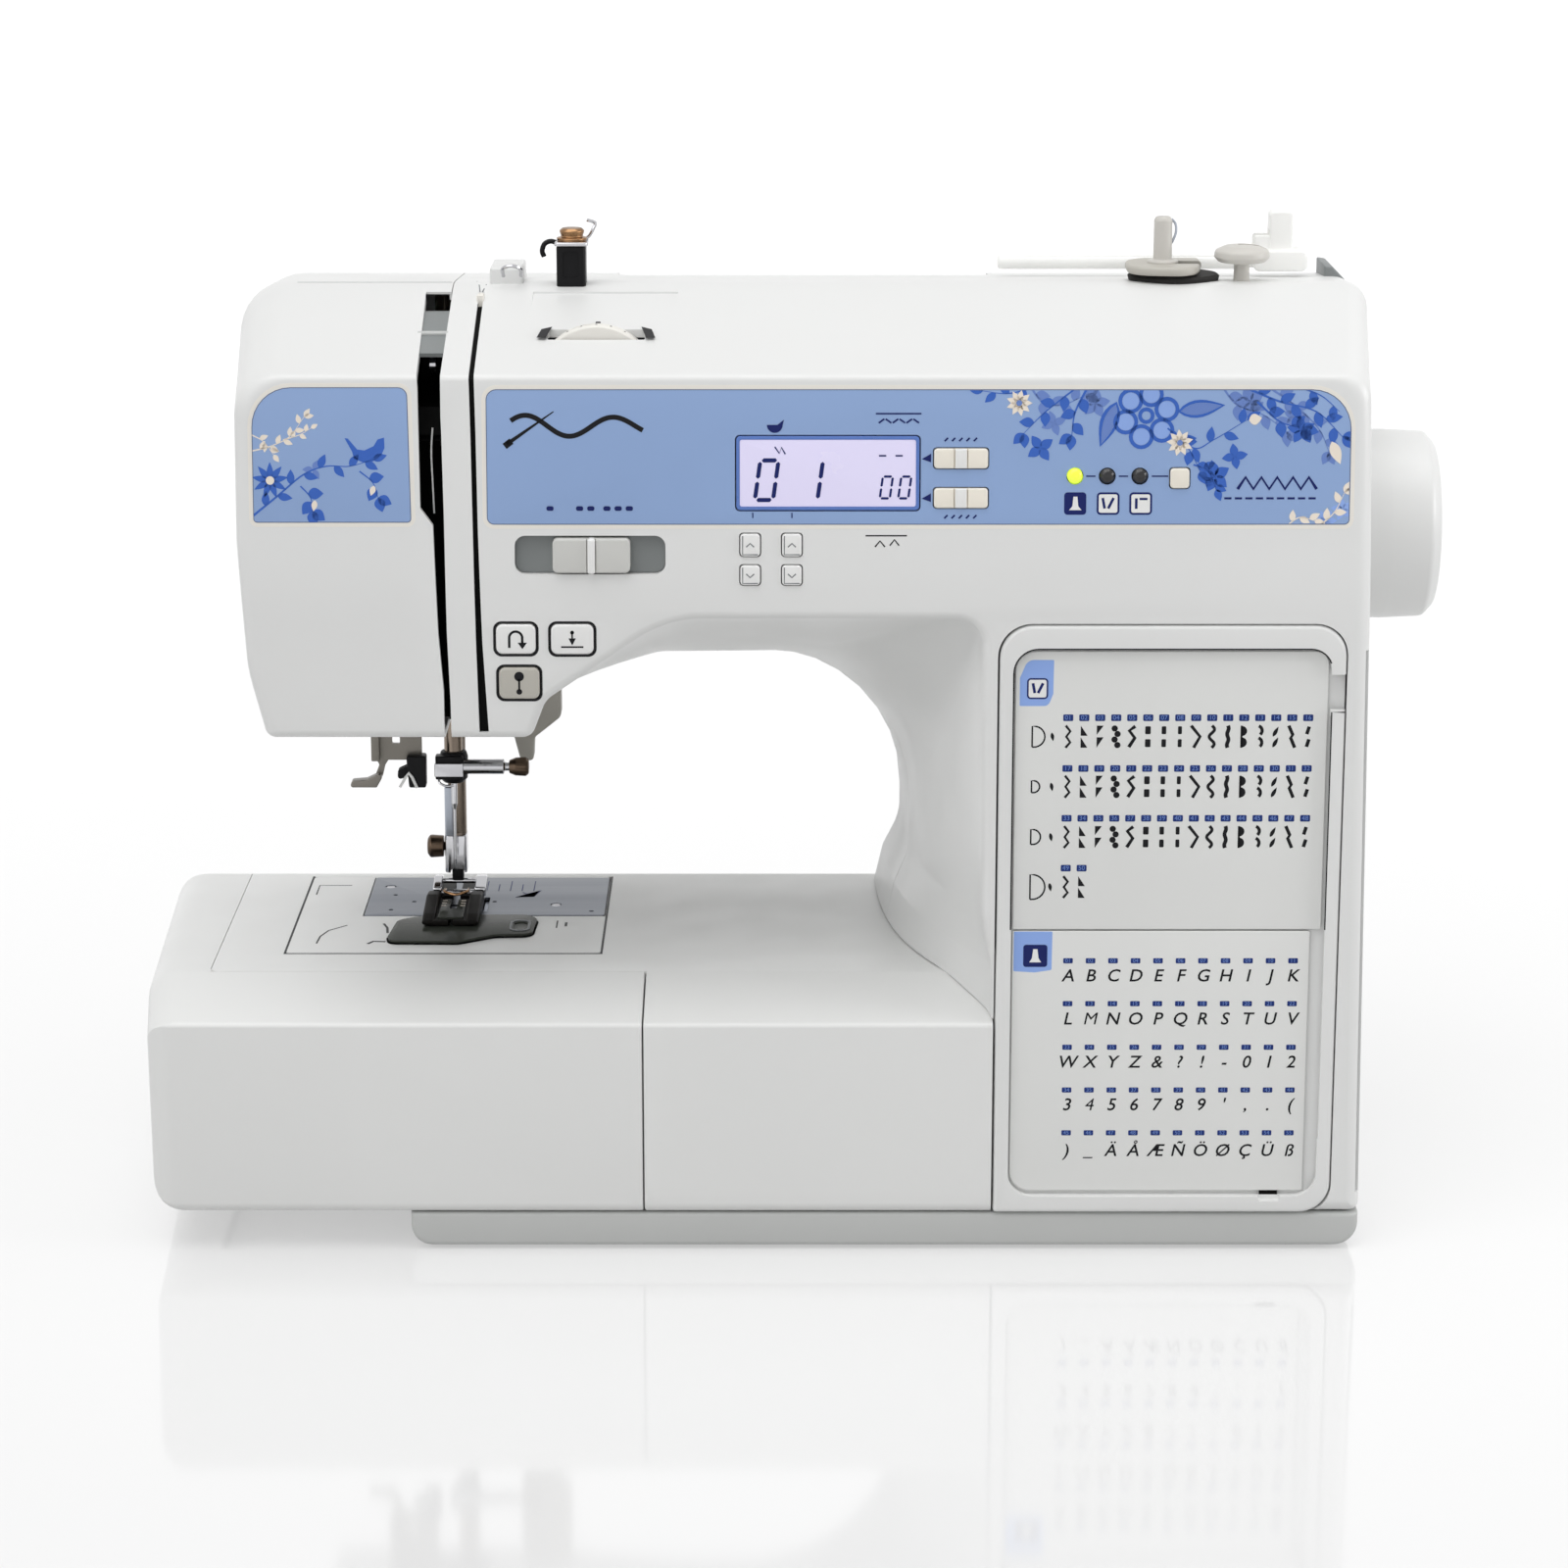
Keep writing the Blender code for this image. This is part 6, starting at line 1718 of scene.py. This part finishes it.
def make_wheel():
    x0, x1 = node_mm("handwheel")[:2]
    line = [(x0, 10, 0), (x0, 28, 1), (x0 + 0.9, 30.4, 0.6), (x0 + 14, 30.7, 4),
            (x1 - 3.2, 30.1, 2.6), (x1, 26.6, 1.6), (x1 - 0.9, 22, 0.8), (x1 - 1.8, 12, 1),
            (x1 - 1, 9.5, 0.8), (x1 - 1, 0.02, 0)]
    wheel = turned("X", SHAFT_Y, SHAFT_Z, line, 128, 6)
    grips = []
    for k in range(12):
        a = 2 * math.pi * (k + 0.5) / 12
        grips.append(turned("X", SHAFT_Y + 24.4 * math.cos(a), SHAFT_Z + 24.4 * math.sin(a),
                            [(x1 - 2.4, 0.02, 0), (x1 - 2, 1.5, 0.6), (x1 + 2, 2.6, 0)], 20))
    wheel = cut(wheel, gather(grips), rod("X", SHAFT_Y, SHAFT_Z, 160, 192, 5.3, 0))
    show(wheel, "hand_wheel", SHELL, "drive_wheel", ["handwheel"])
    collar = turned("X", SHAFT_Y, SHAFT_Z,
                    [(173, 8.2, 0), (173, 12, 0.4), (175.5, 12, 0.4), (175.5, 8.2, 0)], 64)
    collar = cut(collar, rod("X", SHAFT_Y, SHAFT_Z, 160, 180, 7.6, 0))
    show(collar, "wheel_collar", BLACK)


def casing_screw(x, y, z, proud):
    """A cross-head screw in a rear face, standing a little proud of it."""
    head = turned("Y", x, z, [(y + proud, 0.02, 0), (y + proud - 0.1, 2.6, 0.5), (y - 1.2, 2.6, 0)], 28)
    return cut(head, box(x - 1.8, x + 1.8, y - 0.2, y + 2, z - 0.3, z + 0.3),
               box(x - 0.3, x + 0.3, y - 0.2, y + 2, z - 1.8, z + 1.8))


def make_rear():
    panel = block(171.5, 179, 24.6, 61.4, 36.6, 83.4, 2, "X", 0.6)
    panel = cut(panel, block(173.6, 190, 40, 58, 42, 54, 4, "X", 0.2),
                block(173.6, 190, 30, 37, 42, 52, 1, "X", 0.2))
    panel = cut(panel, block(160, 190, 34.6, 51.4, 60.6, 79.4, 1, "X", 0.2))
    pins = [rod("X", y, 48, 173, 178, 1.2, 0.3, 20) for y in (45.5, 52.5)]
    show(panel, "inlet_panel", BLACK, replaces=["socket_panel"])
    show(gather(pins), "inlet_pins", CHROME)
    rocker = soft_prism([(61.2, 171.8, 0.4), (78.8, 171.8, 0.4), (78.8, 179.2, 1.2), (70.4, 177.8, 5),
                         (61.2, 180.4, 1.2)], "Y", 35.4, 50.6, 0.6, 6)
    rocker.data.transform(Matrix(((0, 0, 1, 0), (0, 1, 0, 0), (1, 0, 0, 0), (0, 0, 0, 1))))
    rocker = reworked(rocker, face_outwards)
    show(rocker, "switch_rocker", BLACK, "mains_switch", ["power_switch"])
    arm_places = ((-92, 260), (-30, 262), (60, 262), (164, 262), (-92, 182))
    bulge_places = ((70, 30), (168, 30), (70, 108), (168, 108))
    screws = [casing_screw(x, ARM_REAR, z, 0.6) for x, z in arm_places]
    screws += [casing_screw(x, BULGE_REAR, z, 0.5) for x, z in bulge_places]
    show(gather(screws), "casing_screws", CHROME)
    cutter = block(-171.9, -169.6, 8, 20, 196, 209, 1.4, "X", 0.4)
    show(cutter, "thread_cutter_guard", BASE)
    blade = block(-172.3, -171.8, 11, 17, 199, 200.2, 0.2, "X", 0.05)
    show(blade, "thread_cutter_blade", STEEL)
    lamp = block(-104, -92.5, -60, -36, 165.6, 167.6, 2, "Z", 0.5)
    show(lamp, "work_lamp_lens", CLEAR)


# ---- Needle and presser ------------------------------------------------------------------------------


def make_needle_parts():
    bar = turned("Z", NEEDLE_X, NEEDLE_Y,
                 [(133.2, 2.2, 0), (134.4, 3.1, 0.3), (288.6, 3.1, 0.3), (289, 2.4, 0.2)], 32)
    show(bar, "needle_bar_rod", BAR, "needle_carrier", ["needle_bar"])

    collar = turned("Z", NEEDLE_X, NEEDLE_Y,
                    [(125.6, 2.4, 0), (125.6, 3.4, 0.3), (127, 4.6, 0.4), (134.2, 4.8, 0.4),
                     (136.2, 4.2, 0.6), (136.2, 2.4, 0)], 40)
    front = block(-120.2, -111, 14.6, 19, 127.4, 135.4, 0.8, "Z", 0.4)
    show(join(collar, front), "needle_clamp_body", BLACK, "needle_carrier", ["needle_clamp"])
    plate = block(-120.4, -110.9, 13.5, 14.8, 128.6, 133.2, 0.4, "Y", 0.25)
    show(plate, "needle_clamp_plate", CHROME, "needle_carrier")
    screw = turned("X", 17, 131.4, [(-111.5, 1.4, 0), (-111, 2.5, 0.3), (-97.6, 2.5, 0.3),
                                    (-97, 1.4, 0.3), (-95.6, 1.4, 0.3)], 32)
    show(screw, "needle_clamp_screw", CHROME, "needle_carrier")
    knob = turned("X", 17, 131.4, [(-95.8, 1.3, 0), (-95.6, 2.2, 0.3), (-93.6, 3, 0.8), (-90.2, 3.2, 0.5),
                                   (-89.2, 2.4, 0.5), (-89, 0.02, 0)], 40)
    flutes = [rod("X", 17 + 3.4 * math.cos(a), 131.4 + 3.4 * math.sin(a), -93.6, -88, 0.45, 0, 8)
              for a in [2 * math.pi * k / 14 for k in range(14)]]
    knob = cut(knob, gather(flutes), box(-90, -88, 16.6, 17.4, 120, 140))
    show(knob, "needle_clamp_knob", BRONZE, "needle_carrier")
    needle = turned("Z", NEEDLE_X, NEEDLE_Y,
                    [(127.8, 0.6, 0), (127.8, 1.02, 0.1), (118, 1.02, 0.2), (116, 0.5, 0.5),
                     (98.6, 0.42, 0.5), (95.6, 0.03, 0)], 20)
    eye = block(NEEDLE_X - 0.16, NEEDLE_X + 0.16, NEEDLE_Y - 2, NEEDLE_Y + 2, 99.6, 101.2, 0.12, "Y",
                0.02, 4)
    show(cut(needle, eye), "needle_shaft", CHROME, "needle_carrier", ["needle"])
    guide = thin_wire([(-119, 15.4, 128), (-118.8, 14.6, 126.4), (-116.4, 14, 125.4),
                       (-114.2, 14.4, 125.6)], 0.4)
    show(guide, "needle_thread_guide", CHROME, "needle_carrier")


def make_threader():
    outline = [(-140.2, 134.6, 0.6), (-124.4, 134.6, 0.6), (-124.4, 176, 0.6), (-141.2, 176, 0.6)]
    plate = soft_prism(outline, "Y", 13.2, 14.8, 0.25, 4)
    plate = cut(plate, block(-134.2, -131.6, 5, 20, 140.2, 142.6, 0.5, "Y", 0.05))
    neck = soft_prism([(-140, 129.4, 0.4), (-137.6, 129, 0.4), (-136.6, 133, 0.8), (-134.6, 136, 0.4),
                       (-140.2, 136, 0.4), (-138.6, 133, 0.6)], "Y", 13.2, 14.8, 0.2, 4)
    foot = soft_prism([(-148.4, 125.8, 0.8), (-139.4, 125.8, 0.4), (-137.6, 129, 1), (-138.2, 130.6, 0.6),
                       (-142.8, 128.4, 0.8), (-147.6, 128, 0.8)], "Y", 10.4, 14.8, 0.4, 4)
    fold = block(-141, -138.2, 10.4, 14.8, 134.8, 166, 0.5, "Z", 0.3)
    show(join(plate, neck, foot, fold), "threader_bracket", TAUPE, "threader", ["needle_threader"])
    head = soft_prism([(-128.6, 125.8, 0.6), (-123, 125.8, 0.6), (-122.9, 136.6, 0.8),
                       (-129.4, 136.6, 0.8), (-129.2, 132.6, 0.6)], "Y", 10.2, 15.6, 0.5, 5)
    show(head, "threader_head", BLACK, "threader")
    hook = soft_prism([(-132.2, 128.6, 0.7), (-132, 131.4, 0.7), (-129, 132.8, 0.4), (-128, 130, 0.3)],
                      "Y", 11.4, 14.6, 0.3, 4)
    show(reworked(hook, face_outwards), "threader_hook_arm", BLACK, "threader")
    line = [(-131.6, 126.2), (-129.6, 129.6), (-128.6, 131), (-127.4, 129.4), (-126, 126)]
    tip = prism(stroke(line, 0.9), "Y", 9.4, 10.1)
    show(tip, "threader_guide", BUTTON, "threader")


def make_presser():
    upper = turned("Z", -114.4, PRESSER_Y,
                   [(102.6, 1.5, 0), (102.6, 3.1, 0.3), (257.6, 3.1, 0.3), (258, 2.4, 0.2)], 32)
    show(upper, "presser_rod", BAR, "presser_carrier", ["presser_bar"])
    flat = block(-118.4, -115.6, 27.8, 32, 103, 121.4, 0.6, "Z", 0.3)
    show(flat, "presser_rod_flat", STEEL, "presser_carrier", slot="chrome")
    holder = block(-118.6, -111.2, 27.6, 36, 91.6, 104.6, 1.4, "Z", 0.4)
    holder = cut(holder, box(-115.7, -115.2, 20, 29, 90, 120),
                 block(-116.8, -112, 20, 34, 88, 93, 1, "Y", 0.2))
    neck = block(-116.4, -112.6, 29, 34.8, 88.6, 92.6, 0.8, "Z", 0.3)
    show(neck, "presser_ankle_neck", BLACK, "presser_carrier")
    show(holder, "presser_ankle", CHROME, "presser_carrier")
    screw = turned("X", 31.6, 100, [(-118.6, 1.3, 0), (-119, 1.5, 0.1), (-119.2, 3.6, 0.4),
                                    (-123.6, 3.9, 0.9), (-124.6, 2.6, 0.6), (-124.6, 0.02, 0)], 40)
    screw = cut(screw, box(-126, -123.6, 31.1, 32.1, 92, 108))
    show(screw, "presser_ankle_screw", BRONZE, "presser_carrier")

    sole = soft_prism([(-123.4, -8.8, 2), (-105.4, -8.8, 2), (-105.2, 22, 2), (-107.6, 37.6, 2.5),
                       (-121.2, 37.6, 2.5), (-123.6, 22, 2)], "Z", 83.75, 85.4, 0.35)
    toes = []
    for a, b in ((-123.8, -119.6), (-109.4, -105.2)):
        toe = soft_prism([(-9, 84, 0.6), (20.6, 84, 0.6), (20.6, 87.6, 1.4), (12, 88.6, 2), (-4, 86.6, 3),
                          (-9, 85.4, 0.7)], "X", a, b, 0.9, 5)
        toes.append(toe)
    sole = cut(sole, block(-115.6, -113.2, 4, 44, 80, 95, 0.5, "Z", 0.1),
               block(-119.4, -109.4, 17.4, 21.4, 80, 95, 0.9, "Z", 0.1),
               block(-115.2, -113.6, -12, 2, 80, 95, 0.5, "Z", 0.1))
    sole = gather([sole, *toes])
    show(sole, "foot_sole", SOLE, "presser_sole", ["presser_foot"])
    cheeks = []
    for a, b in ((-122.4, -119.4), (-108.4, -104.6)):
        cheeks.append(soft_prism([(21, 85.2, 0.5), (33, 85.2, 0.5), (33.6, 89.6, 1.2), (29.6, 90, 1.2),
                                  (21, 88.4, 1)], "X", a, b, 0.5, 4))
    deck = block(-120, -108, 22.4, 26.4, 85.2, 86.4, 0.6, "Z", 0.3)
    pin = rod("X", 31, 88, -122, -105, 0.9, 0.2, 20)
    metal = gather([join(cheeks[0], cheeks[1], deck), pin])
    show(metal, "foot_shank_bracket", CHROME, "presser_sole")
    outline = [(-118.8, -6.6, 1), (-110.2, -6.6, 1), (-110.4, 14.8, 1), (-118.6, 14.8, 1)]
    inlay = soft_prism(outline, "Z", 85.2, 86, 0.2)
    inlay = cut(inlay, block(-115.6, -113.2, 4, 44, 80, 95, 0.5, "Z", 0.1))
    show(inlay, "foot_inlay", SMOKE, "presser_sole")
    marks = []
    for k in range(3):
        for x in (-117.6, -111.4):
            marks.append(box(x - 0.8, x + 0.8, 7 + 3 * k, 7.5 + 3 * k, 85.95, 86.1))
    spring = thin_wire([(-118.4, 24, 87), (-118.2, 19.6, 87.4), (-114.4, 17, 87), (-110.8, 19.6, 87.4),
                        (-110.4, 24, 87)], 0.5)
    show(gather(marks), "foot_marks", INK_CREAM, "presser_sole", slot="key_cream")
    show(spring, "foot_spring", COPPER, "presser_sole")

    outline = [(-94, 126.4, 1.4), (-89.4, 125.2, 1.4), (-89, 133.6, 2.5), (-79.8, 141, 3),
               (-79.8, 172, 3), (-88, 177.8, 3), (-97.4, 177.6, 2), (-97.4, 140, 6)]
    lever = soft_prism(outline, "Y", 47.2, 55.9, 1.2, 6)
    show(lever, "presser_lifter", BEIGE, "presser_lift_lever", ["presser_lever"])


# ---- Studio ------------------------------------------------------------------------------------------


def by_ray(tree, socket, seen, shed):
    """Sets a strength as it is seen, and another one for the light it sheds on matt surfaces."""
    path = tree.nodes.new("ShaderNodeLightPath")
    strength = tree.nodes.new("ShaderNodeMapRange")
    strength.inputs["To Min"].default_value = seen
    strength.inputs["To Max"].default_value = shed
    tree.links.new(path.outputs["Is Diffuse Ray"], strength.inputs["Value"])
    tree.links.new(strength.outputs["Result"], socket)


FLOOR_HALF = 20
FLOOR_GREY = 0.40
FLOOR_GLOW = (0.42, 0.12)
WORLD_GLOW = (1, 0.25)
CAMERA_PLACE = (-0.0042, -1.389, 0.489)
CAMERA_TILT = 75.5
CAMERA_LENS = 100
STUDIO_LAMPS = [
    ("sky", "SUN", (-0.1, -0.25, 2.4), (0, 0, 0), 1.55, 60),
    ("front", "SUN", (-0.75, -0.9, 0.95), (0, 0, 0), 1.02, 60),
    ("side", "AREA", (1.6, -0.3, 0.6), (0, 0, 0.2), 10, 1),
]


def make_floor():
    """A glossy pale floor that gives a soft mirror image."""
    material, tree, shader = shader_of("studio_floor")
    shader.inputs["Base Color"].default_value = (FLOOR_GREY, FLOOR_GREY, FLOOR_GREY, 1)
    shader.inputs["Roughness"].default_value = 0.07
    shader.inputs["IOR"].default_value = 1.8
    shader.inputs["Emission Color"].default_value = (1, 1, 1, 1)
    by_ray(tree, shader.inputs["Emission Strength"], *FLOOR_GLOW)
    mesh = bmesh.new()
    bmesh.ops.create_grid(mesh, x_segments=2, y_segments=2, size=FLOOR_HALF)
    floor = finished(mesh, "floor")
    floor.data.materials.append(material)


def make_world():
    world = bpy.data.worlds.new("studio")
    world.use_nodes = True
    background = world.node_tree.nodes["Background"]
    background.inputs["Color"].default_value = (1, 1, 1, 1)
    by_ray(world.node_tree, background.inputs["Strength"], *WORLD_GLOW)
    bpy.context.scene.world = world
    bpy.context.scene.view_settings.view_transform = "Standard"


def make_lamps():
    """Each lamp: name, kind, place, aim, power and size, which is an angle for a sun."""
    for name, kind, origin, aim, power, size in STUDIO_LAMPS:
        lamp = bpy.data.lights.new(name, kind)
        lamp.energy = power
        if kind == "SUN":
            lamp.angle = math.radians(size)
        else:
            lamp.shape = "RECTANGLE"
            lamp.size = size
            lamp.size_y = size * 0.6
        thing = linked(name, lamp)
        thing.location = origin
        thing.rotation_euler = (Vector(aim) - Vector(origin)).to_track_quat("-Z", "Y").to_euler()


def make_camera():
    camera = bpy.data.cameras.new("camera")
    camera.lens = CAMERA_LENS
    camera.sensor_width = 36
    view = linked("camera", camera)
    view.location = CAMERA_PLACE
    view.rotation_euler = (math.radians(CAMERA_TILT), 0, 0)
    bpy.context.scene.camera = view


def main():
    carry_over()
    casing()
    make_bed()
    make_plate()
    make_panel()
    make_display()
    make_flowers()
    make_emblem()
    make_icons()
    make_controls()
    make_card_holder()
    make_cards()
    make_slot_parts()
    make_take_up()
    make_top()
    make_winder()
    make_spool()
    make_handle()
    make_wheel()
    make_rear()
    make_needle_parts()
    make_threader()
    make_presser()
    make_floor()
    make_world()
    make_lamps()
    make_camera()


main()
